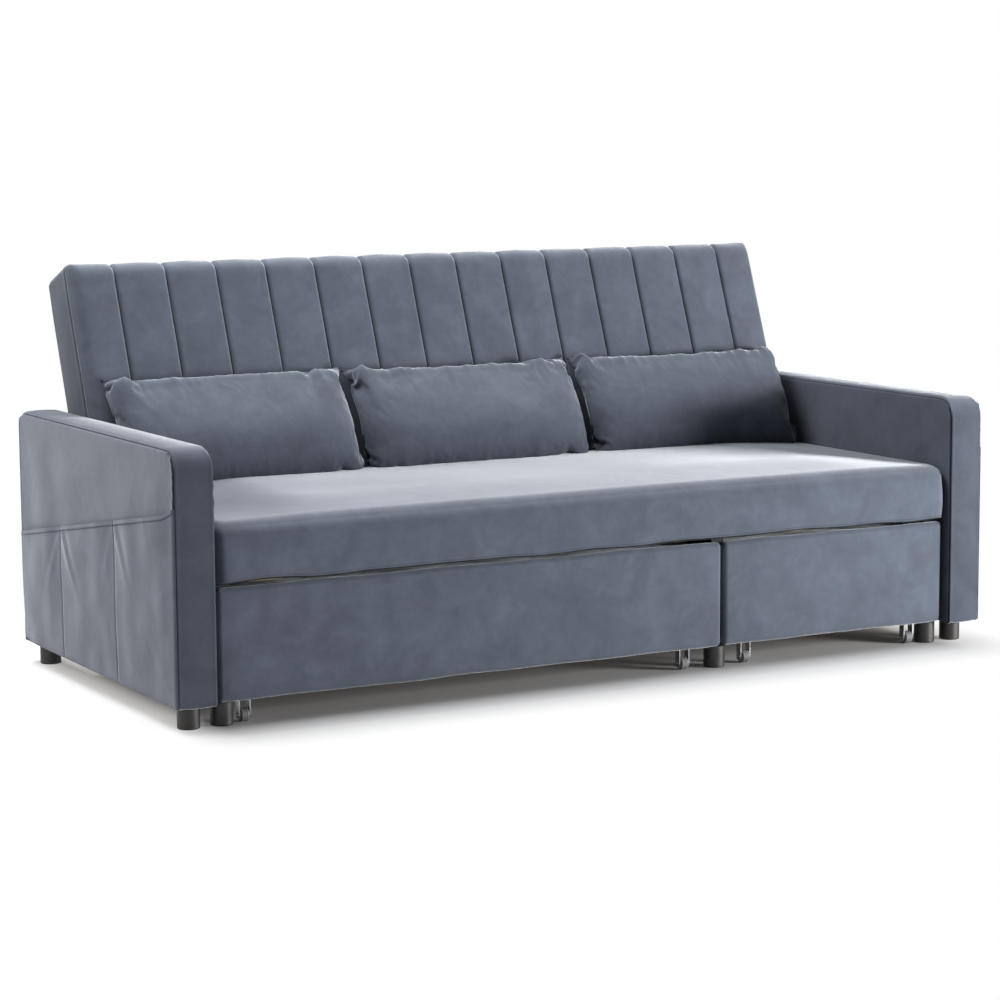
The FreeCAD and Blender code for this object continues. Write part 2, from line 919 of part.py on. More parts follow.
def back_section(x, inset):
    """The backrest's side section at x, set back by inset at its front, top and lower end."""
    front = -(half_back.value - inset)
    rear = half_back.value
    top = s.back_length.value - inset
    top_round = s.back_top_round.value
    rear_round = s.back_rear_round.value
    low = -(half_back.value - inset)
    ahead = (front + top_round, top - top_round)
    behind = (rear - rear_round, top - rear_round)
    low_front = (front * ROUND_MIDDLE, low * ROUND_MIDDLE)
    low_rear = (rear * ROUND_MIDDLE - inset / 4, low * ROUND_MIDDLE)
    return Part.Wire(
        [
            line((x, front, 0), (x, front, ahead[1])),
            arc(
                (x, front, ahead[1]),
                (x, *corner_point(ahead, top_round, True)),
                (x, ahead[0], top),
            ),
            line((x, ahead[0], top), (x, behind[0], top)),
            arc(
                (x, behind[0], top),
                (x, *corner_point(behind, rear_round, False)),
                (x, rear, behind[1]),
            ),
            line((x, rear, behind[1]), (x, rear, 0)),
            arc((x, rear, 0), (x, *low_rear), (x, 0, low)),
            arc((x, 0, low), (x, *low_front), (x, front, 0)),
        ]
    )


def make_channel(low, high):
    """One sewn channel: full in its middle and drawn in at its two seams."""
    crown = s.channel_crown.value
    middle = (low + high) / 2
    sections = [back_section(low, crown), back_section(middle, 0), back_section(high, crown)]
    return Part.makeLoft(sections, True, False)


def make_end_channel(side, seam):
    """The outer channel: a half-crowned field and a rounded outer edge."""
    crown = s.channel_crown.value
    end = back_half.value
    width = s.back_end_round_width.value
    full = end - width
    field = [
        back_section(side * seam, crown),
        back_section(side * (seam + full) / 2, 0),
        back_section(side * full, crown / 3),
    ]
    edge = [
        back_section(
            side * (end - share * width),
            crown / 3 + rounding(share, s.back_end_round.value - crown / 3),
        )
        for share in END_SHARES
    ]
    return [Part.makeLoft(field, True, False), Part.makeLoft(edge, True, True)]


def make_backrest_pad():
    """The channelled backrest upholstery, hollow at the rear for its frame."""
    count = int(s.channels.value)
    pitch = 2 * (back_half.value - s.end_channel.value) / count
    first = -pitch * count / 2
    pieces = [make_channel(first + i * pitch, first + (i + 1) * pitch) for i in range(count)]
    for side in (-1, 1):
        pieces.extend(make_end_channel(side, -first))
    shape = pieces[0].multiFuse(pieces[1:])
    hollow_side = back_half.value - s.back_frame_end.value
    rear = half_back.value
    tools = [
        box_solid(
            (-hollow_side, back_frame_front.value, s.back_frame_low.value),
            (hollow_side, rear + CUT_PAST, back_frame_high.value),
        )
    ]
    for side in (-1, 1):
        edges = sorted((side * hinge_slot_low.value, side * hinge_slot_high.value))
        tools.append(
            box_solid(
                (edges[0], -s.hinge_slot_front.value, -rear - CUT_PAST),
                (edges[1], rear + CUT_PAST, s.back_frame_low.value + s.hinge_slot_side.value),
            )
        )
    solid = as_solid(shape.cut(tools))
    keep_leaning(feature("backrest_pad_shape", solid), "backrest_pad")


def make_backrest_frame():
    """Two long rails and five uprights, in the hollow behind the backrest's upholstery."""
    side = back_half - s.back_frame_end - fit_gap
    front = back_frame_front + fit_gap
    depth = half_back - s.back_cover - front
    low = s.back_frame_low + fit_gap
    high = back_frame_high - fit_gap
    thick = (front, depth)
    rail_half = hinge_place + s.hinge_gap
    pieces = [
        block("back_bottom_rail", (-rail_half, rail_half * 2), thick, (low, s.back_rail)),
        block(
            "back_top_rail",
            (-side, side * 2),
            thick,
            (high - s.back_rail, s.back_rail),
        ),
    ]
    between = (low + s.back_rail, high - low - 2 * s.back_rail)
    for i, share in enumerate(UPRIGHT_SHARES):
        middle = hinge_outer * share - s.back_upright / 2
        pieces.append(block(f"back_upright_{i}", (middle, s.back_upright), thick, between))
    for name, sign in (("left", -1), ("right", 1)):
        ends = span(sign, hinge_outer, hinge_outer + s.back_upright)
        tall = (low, high - s.back_rail - low)
        pieces.append(block(f"back_{name}_upright", ends, thick, tall))
    keep_leaning(group("backrest_frame_group", pieces), "backrest_frame")


def make_backrest_cover():
    """The flat rear cover that closes the backrest's hollow."""
    side = back_half - s.back_frame_end - fit_gap
    low = s.back_frame_low + fit_gap
    panel = block(
        "backrest_cover_panel",
        (-side, side * 2),
        (half_back - s.back_cover, s.back_cover),
        (low, back_frame_high - fit_gap - low),
    )
    keep_leaning(group("backrest_cover_group", [panel]), "backrest_rear_cover")


def on_eye(depth, height, angle):
    """A point on a hinge eye's rim, at an angle in degrees from straight back upwards."""
    turn = math.radians(angle)
    return depth + s.hinge_eye * math.cos(turn), height + s.hinge_eye * math.sin(turn)


def make_hinge_bracket(side, label):
    """The fixed half of a recline hinge: a plate with an eye, and a flange on the rear panel."""
    body = doc.addObject("PartDesign::Body", f"{label}_body")
    low, thick = span(side, hinge_inner, hinge_place)
    front = rear_panel_front - s.hinge_reach
    plate = sketch_on(body, f"{label}_plate", "YZ_Plane", low)
    outline(
        plate,
        [
            (front, hinge_foot),
            (rear_panel_front, hinge_foot),
            (rear_panel_front, rear_panel_top + s.hinge_flange_gap),
            on_eye(pivot_depth, pivot_height, -16),
            (pivot_depth, pivot_height),
            (pivot_depth - s.hinge_eye, pivot_height),
            (front, rear_panel_top + s.hinge_flange_gap * 2),
        ],
    )
    pad(body, plate, thick)
    eye = sketch_on(body, f"{label}_eye", "YZ_Plane", low)
    ring(eye, (pivot_depth, pivot_height), s.hinge_eye)
    pad(body, eye, thick)
    flange_low, flange_width = span(side, hinge_inner - s.hinge_flange, hinge_place)
    flange = sketch_on(body, f"{label}_flange", "XY_Plane", hinge_foot)
    outline(
        flange,
        rectangle(
            (flange_low, rear_panel_front - s.hinge_plate),
            (flange_low + flange_width, rear_panel_front),
        ),
    )
    pad(body, flange, s.hinge_flange_height)
    bore = sketch_on(body, f"{label}_bore", "YZ_Plane", low)
    ring(bore, (pivot_depth, pivot_height), s.hinge_pin + s.hinge_clearance)
    pocket(body, bore, thick)
    holes = sketch_on(body, f"{label}_holes", "XZ_Plane", -rear_panel_front)
    for share in SCREW_STEPS:
        height = hinge_foot + s.hinge_flange_height * share
        ring(holes, (side * bracket_screw_place, height), screw_hole)
    pocket(body, holes, s.hinge_plate)
    keep(body, label)


def make_bracket_screws():
    """Screws that hold the hinge brackets to the rear panel."""
    screws = []
    for side in (-1, 1):
        for i, share in enumerate(SCREW_STEPS):
            name = f"bracket_screw_{'right' if side > 0 else 'left'}_{i}"
            x = side * bracket_screw_place
            height = hinge_foot + s.hinge_flange_height * share
            face = rear_panel_front - s.hinge_plate
            top = (face - s.screw_head_height, s.screw_head_height)
            shank = deep_rod(f"{name}_shank", x, (face, s.hinge_plate), height, s.screw_radius)
            head = deep_rod(f"{name}_head", x, top, height, s.screw_head)
            screws.append(joined(name, [shank, head]))
    keep(group("bracket_screws_group", screws), "hinge_bracket_screws")


def make_hinge_plate(side, label):
    """The moving half of a recline hinge: an eye on the pin and an arm along the backrest's frame."""
    body = doc.addObject("PartDesign::Body", f"{label}_body")
    low, thick = span(side, hinge_place + s.hinge_gap, hinge_outer)
    front = back_frame_front + fit_gap
    rear = half_back - s.back_cover - fit_gap
    plate = sketch_on(body, f"{label}_plate", "YZ_Plane", low)
    outline(
        plate,
        [
            (0, 0),
            on_eye(0, 0, -26),
            (rear, s.back_frame_low),
            (rear, s.hinge_arm),
            (front, s.hinge_arm),
            (front, s.back_frame_low),
            on_eye(0, 0, 145),
        ],
    )
    pad(body, plate, thick)
    eye = sketch_on(body, f"{label}_eye", "YZ_Plane", low)
    ring(eye, (0, 0), s.hinge_eye)
    pad(body, eye, thick)
    bore = sketch_on(body, f"{label}_bore", "YZ_Plane", low)
    ring(bore, (0, 0), s.hinge_pin + s.hinge_clearance)
    pocket(body, bore, thick)
    holes = sketch_on(body, f"{label}_holes", "YZ_Plane", low)
    for height in plate_screw_heights():
        ring(holes, (plate_screw_depth, height), screw_hole)
    pocket(body, holes, thick)
    keep_leaning(body, label)


def plate_screw_heights():
    """Heights of the screws through a moving hinge plate."""
    low = s.back_frame_low + s.back_rail
    return [low + (s.hinge_arm - low) * share for share in SCREW_STEPS]


def make_hinge_pins():
    """One pin with a head on each side through each recline hinge."""
    pins = []
    inner = hinge_inner - fit_gap
    outer = hinge_outer + fit_gap
    ends = ((inner - s.hinge_pin_head_height, inner), (outer, outer + s.hinge_pin_head_height))
    for side in (-1, 1):
        name = f"hinge_pin_{'right' if side > 0 else 'left'}"
        shank = cross_rod(f"{name}_shank", span(side, inner, outer), 0, 0, s.hinge_pin)
        heads = [
            cross_rod(f"{name}_head_{i}", span(side, *end), 0, 0, s.hinge_pin_head)
            for i, end in enumerate(ends)
        ]
        pins.append(joined(name, [shank, *heads]))
    keep_leaning(group("hinge_pins_group", pins), "backrest_hinge_pins")


def make_plate_screws():
    """Screws that hold the moving hinge plates to the backrest's frame."""
    screws = []
    for side in (-1, 1):
        for i, height in enumerate(plate_screw_heights()):
            name = f"plate_screw_{'right' if side > 0 else 'left'}_{i}"
            face = hinge_place + s.hinge_gap
            shank = cross_rod(
                f"{name}_shank",
                span(side, face, hinge_outer),
                plate_screw_depth,
                height,
                s.screw_radius,
            )
            head = cross_rod(
                f"{name}_head",
                span(side, face - s.screw_head_height, face),
                plate_screw_depth,
                height,
                s.screw_head,
            )
            screws.append(joined(name, [shank, head]))
    keep_leaning(group("plate_screws_group", screws), "backrest_hinge_screws")


# Pull-out beds


class Bed:
    """Where one pull-out bed lies along X, and on which side its outer caster is."""

    def __init__(self, name, panel_low, panel_high, low, high, low_caster, high_caster):
        self.name = name
        self.panel_low = panel_low
        self.panel_high = panel_high
        self.low = low
        self.high = high
        self.board_low = low + s.bed_board
        self.board_high = high - s.bed_board
        self.deck_low = self.board_low + s.deck_link_space
        self.deck_high = self.board_high - s.deck_link_space
        self.casters = {"left": low + low_caster, "right": high - high_caster}


BEDS = (
    Bed(
        "wide_bed",
        -inside + s.bed_panel_gap,
        s.bed_split - s.bed_panel_gap / 2,
        -board_inner + s.bed_side_clearance,
        s.bed_split - split_half - s.bed_side_clearance,
        s.caster_outer,
        s.caster_inner,
    ),
    Bed(
        "narrow_bed",
        s.bed_split + s.bed_panel_gap / 2,
        inside - s.bed_panel_gap,
        s.bed_split + split_half + s.bed_side_clearance,
        board_inner - s.bed_side_clearance,
        s.caster_inner,
        s.caster_outer,
    ),
)
CASTER_DEPTHS = {"front": bed_panel_rear + s.caster_inset, "rear": bed_rear - s.caster_inset}


def make_bed_panel(bed):
    """The covered front panel of a pull-out bed, with softly rounded edges."""
    name = f"{bed.name}_front_panel"
    body = doc.addObject("PartDesign::Body", f"{name}_body")
    profile = sketch_on(body, f"{name}_face", "XZ_Plane", -bed_panel_rear)
    outline(
        profile,
        rectangle((bed.panel_low, bed_panel_bottom), (bed.panel_high, bed_panel_top)),
    )
    board = pad(body, profile, s.bed_panel_thickness)
    fillet(
        body,
        board,
        lambda e: e.BoundBox.YMax < s.bed_panel_front.value + 0.01,
        s.bed_panel_round,
    )
    keep(body, name)


def make_bed_frame(bed):
    """The wooden box of a pull-out bed: two side boards, a front rail and a rear rail."""
    name = f"{bed.name}_frame"
    full = (bed_panel_rear, bed_rear - bed_panel_rear)
    tall = (bed_frame_bottom, bed_board_top - bed_frame_bottom)
    low = (bed_frame_bottom, bed_rail_top - bed_frame_bottom)
    across = (bed.board_low, bed.board_high - bed.board_low)
    pieces = [
        block(f"{name}_left_board", (bed.low, s.bed_board), full, tall),
        block(f"{name}_right_board", (bed.board_high, s.bed_board), full, tall),
        block(f"{name}_front_rail", across, (bed_panel_rear, s.bed_board), low),
        block(f"{name}_rear_rail", across, (bed_rear - s.bed_board, s.bed_board), low),
    ]
    keep(group(f"{name}_group", pieces), name)


def tube(name, place, size, along):
    """A square steel tube, open at both ends of the axis that it runs along."""
    outside = block(f"{name}_outside", *zip(place, size))
    inner_place = []
    inner_size = []
    for axis, low, length in zip("xyz", place, size):
        wall = -CUT_PAST if axis == along else s.deck_tube_wall
        inner_place.append(low + wall)
        inner_size.append(length - 2 * wall)
    return cut(name, outside, block(f"{name}_inside", *zip(inner_place, inner_size)))


def make_bed_deck(bed):
    """The deck of a pull-out bed: a rectangle of steel tube, and wooden slats across it."""
    name = f"{bed.name}_deck"
    width = bed.deck_high - bed.deck_low
    between = deck_front + s.deck_tube
    depth = deck_rear - deck_front - 2 * s.deck_tube
    size = s.deck_tube
    tubes = []
    for word, y in (("front", deck_front), ("rear", deck_rear - size)):
        place = (bed.deck_low, y, bed_rail_top)
        tubes.append(tube(f"{name}_{word}_tube", place, (width, size, size), "x"))
    for word, x in (("left", bed.deck_low), ("right", bed.deck_high - size)):
        place = (x, between, bed_rail_top)
        tubes.append(tube(f"{name}_{word}_tube", place, (size, depth, size), "y"))
    keep(group(f"{name}_tubes", tubes), f"{name}_frame")
    count = int(s.deck_slats.value)
    pitch = (deck_rear - deck_front - s.deck_slat_width) / (count - 1)
    slats = [
        block(
            f"{name}_slat_{i}",
            (bed.deck_low, width),
            (deck_front + pitch * i, s.deck_slat_width),
            (bed_board_top, s.deck_slat_height),
        )
        for i in range(count)
    ]
    keep(group(f"{name}_slats_group", slats), f"{name}_slats")


def make_bed_cushion(bed):
    """The thin mattress pad on a pull-out bed's deck."""
    shape = cushion(
        bed.low.value,
        bed.high.value,
        deck_front.value,
        deck_rear.value,
        deck_top.value,
        bed_cushion_top.value - s.bed_cushion_crown.value,
        (
            s.bed_cushion_crown.value - s.bed_cushion_cross_crown.value,
            s.bed_cushion_cross_crown.value,
        ),
        [s.bed_cushion_round.value] * 3,
    )
    name = f"{bed.name}_cushion"
    keep(feature(f"{name}_shape", as_solid(shape)), name)


def link_ends():
    """Depth and height of the lower and upper pivots of the front and rear lift links."""
    angle = math.radians(s.link_angle.value)
    upper_height = bed_rail_top + s.deck_tube / 2
    lower_height = upper_height - s.link_length * math.sin(angle)
    reach = s.link_length * math.cos(angle)
    front = bed_panel_rear + s.front_link_inset
    rear = deck_rear - s.rear_link_inset - reach
    return [
        ((depth, lower_height), (depth + reach, upper_height)) for depth in (front, rear)
    ]


def make_lift_links(bed):
    """Four flat links that carry the deck when it is lifted, folded down beside it."""
    name = f"{bed.name}_lift_links"
    slack = (s.deck_link_space - s.link_thickness) / 2
    links = []
    for side, low in (("left", bed.board_low + slack), ("right", bed.deck_high + slack)):
        for place, (lower, upper) in zip(("front", "rear"), link_ends()):
            piece = f"{name}_{side}_{place}"
            links.append(make_link(piece, low, lower, upper))
    keep(group(f"{name}_group", links), name)


def make_link(name, low, lower, upper):
    """One flat link with a round end and a hole at each pivot."""
    bar = doc.addObject("Part::Box", f"{name}_bar")
    turn = Rotation(Vector(1, 0, 0), s.link_angle.value)
    angle = math.radians(s.link_angle.value)
    bar.Placement = Placement(Vector(0, 0, 0), turn)
    start = (
        low,
        lower[0] + s.link_width / 2 * math.sin(angle),
        lower[1] - s.link_width / 2 * math.cos(angle),
    )
    for axis, place in zip("xyz", start):
        bar.setExpression(f"Placement.Base.{axis}", place.text)
    bar.setExpression("Length", s.link_thickness.text)
    bar.setExpression("Width", s.link_length.text)
    bar.setExpression("Height", s.link_width.text)
    across = (low, s.link_thickness)
    ends = [
        cross_rod(f"{name}_end_{i}", across, *pivot, s.link_width / 2)
        for i, pivot in enumerate((lower, upper))
    ]
    holes = [
        cross_rod(f"{name}_hole_{i}", across, *pivot, s.link_pin + s.hinge_clearance)
        for i, pivot in enumerate((lower, upper))
    ]
    solid = joined(f"{name}_solid", [bar, *ends])
    return cut(name, solid, group(f"{name}_holes", holes))


def make_link_pins(bed):
    """The pivots of the lift links, on the side boards below and on the deck above."""
    name = f"{bed.name}_link_pins"
    length = s.deck_link_space - fit_gap
    pins = []
    for side, board_face, deck_face in (
        ("left", bed.board_low, bed.deck_low - length),
        ("right", bed.board_high - length, bed.deck_high),
    ):
        for place, (lower, upper) in zip(("front", "rear"), link_ends()):
            for level, low, pivot in (("low", board_face, lower), ("high", deck_face, upper)):
                piece = f"{name}_{side}_{place}_{level}"
                pins.append(cross_rod(piece, (low, length), *pivot, s.link_pin))
    keep(group(f"{name}_group", pins), name)


def make_glides(bed):
    """Nylon strips that guide a pull-out bed between the boards of the base."""
    name = f"{bed.name}_glides"
    height = (bed_frame_bottom + s.caster_inset, s.glide_height)
    pieces = []
    for side, low in (("left", bed.low - s.glide_thickness), ("right", bed.high)):
        for place, depth in (
            ("front", bed_panel_rear + s.caster_inset),
            ("rear", bed_rear - s.caster_inset - s.glide_length),
        ):
            strip = block(
                f"{name}_{side}_{place}",
                (low, s.glide_thickness),
                (depth, s.glide_length),
                height,
            )
            pieces.append(strip)
    keep(group(f"{name}_group", pieces), name)


def make_fork(name, x, y):
    """A stamped caster fork: a top plate, and two prongs with round ends and axle holes."""
    prong_gap = s.wheel_width / 2 + s.fork_side_gap
    plate_bottom = bed_frame_bottom - s.fork_sheet
    half = s.fork_plate_length / 2
    pieces = [
        block(
            f"{name}_plate",
            (x - half, s.fork_plate_length),
            (y - half, s.fork_plate_length),
            (plate_bottom, s.fork_sheet),
        )
    ]
    for side, low in (("left", x - prong_gap - s.fork_sheet), ("right", x + prong_gap)):
        prong = (low, s.fork_sheet)
        pieces.append(
            block(
                f"{name}_{side}_prong",
                prong,
                (y - s.fork_width / 2, s.fork_width),
                (s.wheel_radius, plate_bottom - s.wheel_radius),
            )
        )
        end = cross_rod(f"{name}_{side}_end", prong, y, s.wheel_radius, s.fork_width / 2)
        pieces.append(end)
    across = (x - half, s.fork_plate_length)
    hole_radius = s.axle_radius + s.axle_clearance
    hole = cross_rod(f"{name}_hole", across, y, s.wheel_radius, hole_radius)
    return cut(name, joined(f"{name}_solid", pieces), hole)


def make_casters(bed):
    """Four fixed casters: forks and axles on the bed's frame, and a wheel each."""
    forks = []
    axles = []
    half = s.wheel_width / 2 + s.fork_side_gap + s.fork_sheet + fit_gap
    head = s.axle_head_height
    for place, y in CASTER_DEPTHS.items():
        for side, x in bed.casters.items():
            name = f"{bed.name}_caster_{place}_{side}"
            forks.append(make_fork(f"{name}_fork", x, y))
            shank = cross_rod(
                f"{name}_shank", (x - half, half * 2), y, s.wheel_radius, s.axle_radius
            )
            heads = [
                cross_rod(f"{name}_head_{i}", (low, head), y, s.wheel_radius, s.axle_head)
                for i, low in enumerate((x - half - head, x + half))
            ]
            axles.append(joined(f"{name}_axle", [shank, *heads]))
            make_wheel(f"{bed.name}_wheel_{place}_{side}", x, y)
    keep(group(f"{bed.name}_forks_group", forks), f"{bed.name}_caster_forks")
    keep(group(f"{bed.name}_axles_group", axles), f"{bed.name}_caster_axles")


def make_wheel(label, x, y):
    """A caster wheel with a rounded tread, turned about its axle."""
    body = doc.addObject("PartDesign::Body", f"{label}_body")
    profile = sketch_on(body, f"{label}_profile", "XZ_Plane")
    half = s.wheel_width / 2
    bore = s.axle_radius + s.axle_clearance
    step = s.wheel_edge * (1 - ROUND_MIDDLE)
    outline(
        profile,
        [
            (-half, bore),
            (half, bore),
            (half, s.wheel_radius - s.wheel_edge),
            (half - step, s.wheel_radius - step),
            (half - s.wheel_edge, s.wheel_radius),
            (-half + s.wheel_edge, s.wheel_radius),
            (-half + step, s.wheel_radius - step),
            (-half, s.wheel_radius - s.wheel_edge),
        ],
    )
    turned = body.newObject("PartDesign::Revolution", f"{label}_turned")
    turned.Profile = profile
    turned.ReferenceAxis = (profile, ["H_Axis"])
    turned.Angle = 360
    doc.recompute()
    keep(body, label, y, s.wheel_radius)
    body.setExpression("Placement.Base.x", dim(x).text)


# Pillows


PILLOW_SPANS = 12
SETTLING_STEPS = 8


def pillow_section(x, height, thickness, seam):
    """A pillow's section: two shallow arcs that meet in a narrow seam above and below."""
    top = height / 2
    edge = seam / 2
    bulge = thickness / 2
    return Part.Wire(
        [
            arc((x, -edge, -top), (x, -bulge, 0), (x, -edge, top)),
            line((x, -edge, top), (x, edge, top)),
            arc((x, edge, top), (x, bulge, 0), (x, edge, -top)),
            line((x, edge, -top), (x, -edge, -top)),
        ]
    )


def pillow_shape():
    """A stuffed pillow about its middle: full in the middle, flat at its four pulled-out corners."""
    half = s.pillow_width.value / 2
    height = s.pillow_height.value
    thickness = s.pillow_thickness.value
    seam = s.pillow_seam.value
    sections = []
    for i in range(PILLOW_SPANS + 1):
        place = -math.cos(math.pi * i / PILLOW_SPANS)
        fullness = math.sqrt(1 - abs(place) ** 3)
        sections.append(
            pillow_section(
                half * place,
                height - s.pillow_draw_in.value * fullness,
                seam * 2 + (thickness - seam * 2) * fullness,
                seam,
            )
        )
    return Part.makeLoft(sections, True, True)


def seat_height_at(depth):
    """Height of the seat's crown in the middle of the sofa at a depth."""
    front = s.seat_front.value + s.seat_front_round.value
    rear = seat_rear.value - s.seat_rear_round.value
    rise = s.seat_cross_crown.value
    half = (rear - front) / 2
    radius = (half**2 + rise**2) / (2 * rise)
    offset = depth - (front + rear) / 2
    level = s.seat_edge.value + s.seat_crown.value - radius
    return level + math.sqrt(radius**2 - offset**2)


def make_pillows():
    """Three loose pillows that lean on the backrest and stand on the seat."""
    behind = half_back.value + s.pillow_thickness.value / 2 + s.pillow_clearance.value
    half_height = s.pillow_height.value / 2
    foot = seat_rear.value
    for _ in range(SETTLING_STEPS):
        level = seat_height_at(foot) + s.pillow_clearance.value
        along = (level - pivot_height.value - behind * lean_sine.value) / lean_cosine.value
        foot = pivot_depth.value - behind * lean_cosine.value + along * lean_sine.value
    centre = along + half_height
    y = pivot_depth.value - behind * lean_cosine.value + centre * lean_sine.value
    z = pivot_height.value + behind * lean_sine.value + centre * lean_cosine.value
    for i, label in enumerate(("left_pillow", "middle_pillow", "right_pillow")):
        item = keep(feature(f"{label}_shape", pillow_shape()), label, y, z, leaning=True)
        x = (s.pillow_width + s.pillow_gap) * (i - 1)
        item.setExpression("Placement.Base.x", x.text)


def make_all():
    """Makes every sub-part of the sofa."""
    make_legs()
    for side, word in ((-1, "left"), (1, "right")):
        make_arm_cover(side, f"{word}_arm_cover")
        make_arm_frame(side, f"{word}_arm_frame")
        make_pocket(side, f"{word}_arm_pockets")
        make_hinge_bracket(side, f"{word}_hinge_bracket")
        make_hinge_plate(side, f"{word}_hinge_plate")
    make_base_board("left_base_board", -board_outer, -1)
    make_base_board("middle_base_board", s.bed_split - split_half, 0)
    make_base_board("right_base_board", board_inner, 1)
    make_arm_bolts()
    make_rear_panel()
    make_seat_cushion()
    make_seat_frame()
    make_dust_cloth()
    make_backrest_pad()
    make_backrest_frame()
    make_backrest_cover()
    make_bracket_screws()
    make_hinge_pins()
    make_plate_screws()
    for bed in BEDS:
        make_bed_panel(bed)
        make_bed_frame(bed)
        make_bed_deck(bed)
        make_bed_cushion(bed)
        make_lift_links(bed)
        make_link_pins(bed)
        make_glides(bed)
        make_casters(bed)
    make_pillows()


def check_and_write():
    """Stops on any failed object or bad shape, and writes one file for each sub-part."""
    doc.recompute()
    for item in doc.Objects:
        if "Invalid" in item.State or "Error" in item.State:
            raise ValueError(f"{item.Name} is in state {item.State}")
    for item in SUB_PARTS:
        if item.Shape.isNull() or not item.Shape.isValid():
            raise ValueError(f"{item.Label} has no valid shape")
    os.makedirs("parts", exist_ok=True)
    for item in SUB_PARTS:
        item.Shape.exportStep(os.path.join("parts", f"{item.Label}.step"))
        box = item.Shape.BoundBox
        print(
            f"{item.Label}: {len(item.Shape.Solids)} solids, x {box.XMin:.1f} to {box.XMax:.1f},"
            f" y {box.YMin:.1f} to {box.YMax:.1f}, z {box.ZMin:.1f} to {box.ZMax:.1f}"
        )
    print(f"{len(SUB_PARTS)} sub-parts")


make_all()
check_and_write()
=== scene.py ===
"""Sleeper sofa with a pull-out bed: the look of each part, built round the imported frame."""

import json
import math

import bpy
import numpy as np
from mathutils import Matrix, Vector


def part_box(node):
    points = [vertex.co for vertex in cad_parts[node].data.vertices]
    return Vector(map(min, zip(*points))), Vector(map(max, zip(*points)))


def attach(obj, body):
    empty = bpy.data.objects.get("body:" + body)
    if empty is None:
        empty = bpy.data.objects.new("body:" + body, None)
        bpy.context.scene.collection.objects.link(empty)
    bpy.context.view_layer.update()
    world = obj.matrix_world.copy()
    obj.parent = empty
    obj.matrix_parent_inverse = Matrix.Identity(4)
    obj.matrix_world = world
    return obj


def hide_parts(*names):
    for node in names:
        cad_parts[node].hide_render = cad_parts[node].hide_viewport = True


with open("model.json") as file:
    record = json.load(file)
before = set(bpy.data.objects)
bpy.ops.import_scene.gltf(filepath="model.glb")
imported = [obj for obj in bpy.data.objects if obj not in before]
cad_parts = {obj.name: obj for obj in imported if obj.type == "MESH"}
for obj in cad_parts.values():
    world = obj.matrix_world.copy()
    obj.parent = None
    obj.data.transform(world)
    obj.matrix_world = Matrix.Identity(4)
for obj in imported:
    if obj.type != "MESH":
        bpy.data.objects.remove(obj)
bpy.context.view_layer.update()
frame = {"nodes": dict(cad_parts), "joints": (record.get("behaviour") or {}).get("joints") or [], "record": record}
nodes = frame["nodes"]
joints = {joint["name"]: joint for joint in frame["joints"]}

# Camera, from the photograph's perspective
CAMERA_PLACE = Vector((-3.2776, -5.9122, 1.2852))
CAMERA_LENS = 101.23
CAMERA_SENSOR = 36.0
CAMERA_YAW = 0.5053
CAMERA_PITCH = 0.1350
CAMERA_ROLL = -0.0064

# Upholstery sizes, in metres
SEAM_WIDTH = 0.0022
SEAM_DEPTH = 0.0016
DEEP_SHADE = 0.40
ARM_EDGE_ROUND = 0.009
ARM_TOP_EDGE_ROUND = 0.018
ARM_SIDE_CROWN = 0.0026
ARM_FRONT_ROUND = 0.055
ARM_REAR_ROUND = 0.042
ARM_FOOT_ROUND = 0.010
POCKET_SEAMS = (0.014, 0.338, 0.676, 0.942)
POCKET_HEM_START = 0.471
POCKET_HEM_FALL = 0.16146
POCKET_HEM = 0.010
POCKET_TUCK = 0.003
SEAT_EDGE_HEIGHT = 0.442
SEAT_FRONT_ROUND = 0.036
SEAT_REAR_ROUND = 0.016
SEAT_END_ROUND = 0.026
SEAT_FRONT_DROP = 0.0005
SEAT_FRONT_BOW = 0.010
BACK_LEAN = math.radians(21)
BACK_HALF = 0.080
BACK_LENGTH = 0.611
BACK_CROWN = 0.007
BACK_TOP_ROUND = 0.046
BACK_REAR_ROUND = 0.020
BACK_END_ROUND = 0.042
BACK_END_WIDTH = 0.034
BACK_GUSSET = 0.036
CHANNEL_FIRST = -0.84825
CHANNEL_PITCH = 0.1305
CHANNEL_SEAMS = 14
CHANNEL_HALF = 0.066
PANEL_ROUND = 0.012
MATTRESS_ROUND = 0.014
PILLOW_PRESSURE = 12.0
PILLOW_STRETCH = 40.0
PILLOW_SHEAR = 16.0
PILLOW_BEND = 0.3
PILLOW_OVERFILL = 1.45
PILLOW_FRAMES = 30
PILLOW_WIDTH = 0.618
PILLOW_HEIGHT = 0.258
PILLOW_THICKNESS = 0.122
PILLOW_SAG = 0.040
PILLOW_REST = 0.10
PILLOW_LEAN = 0.75
PILLOW_TUCK = 0.026
PILLOW_TAPER = 0.50
PILLOW_DRAW_IN = 0.012
PILLOW_EAR = 0.002
PILLOW_SINK = 0.008
WHEEL_RADIUS = 0.015
WHEEL_WIDTH = 0.020
HUB_BORE = 0.0030
HUB_COLLAR = 0.0048
HUB_RADIUS = 0.0094
HUB_INSET = 0.0012
RIB_EDGE = 0.0006
TREAD_GROOVE = 0.0018

# Studio
FOOTPRINT = (0.94, 0.45, 0.0)
SHADOW_SHAPE = (2.0, 1.0, 1.0)
SHADOW_FADE = (0.02, 0.40)
PAINTED_SHADOW_REACH = 0.14
WORLD_LEVEL = 0.06
OVERHEAD_WATTS = 202.0
FILL_WATTS = 25.0
KEY_WATTS = 255.0


# Materials


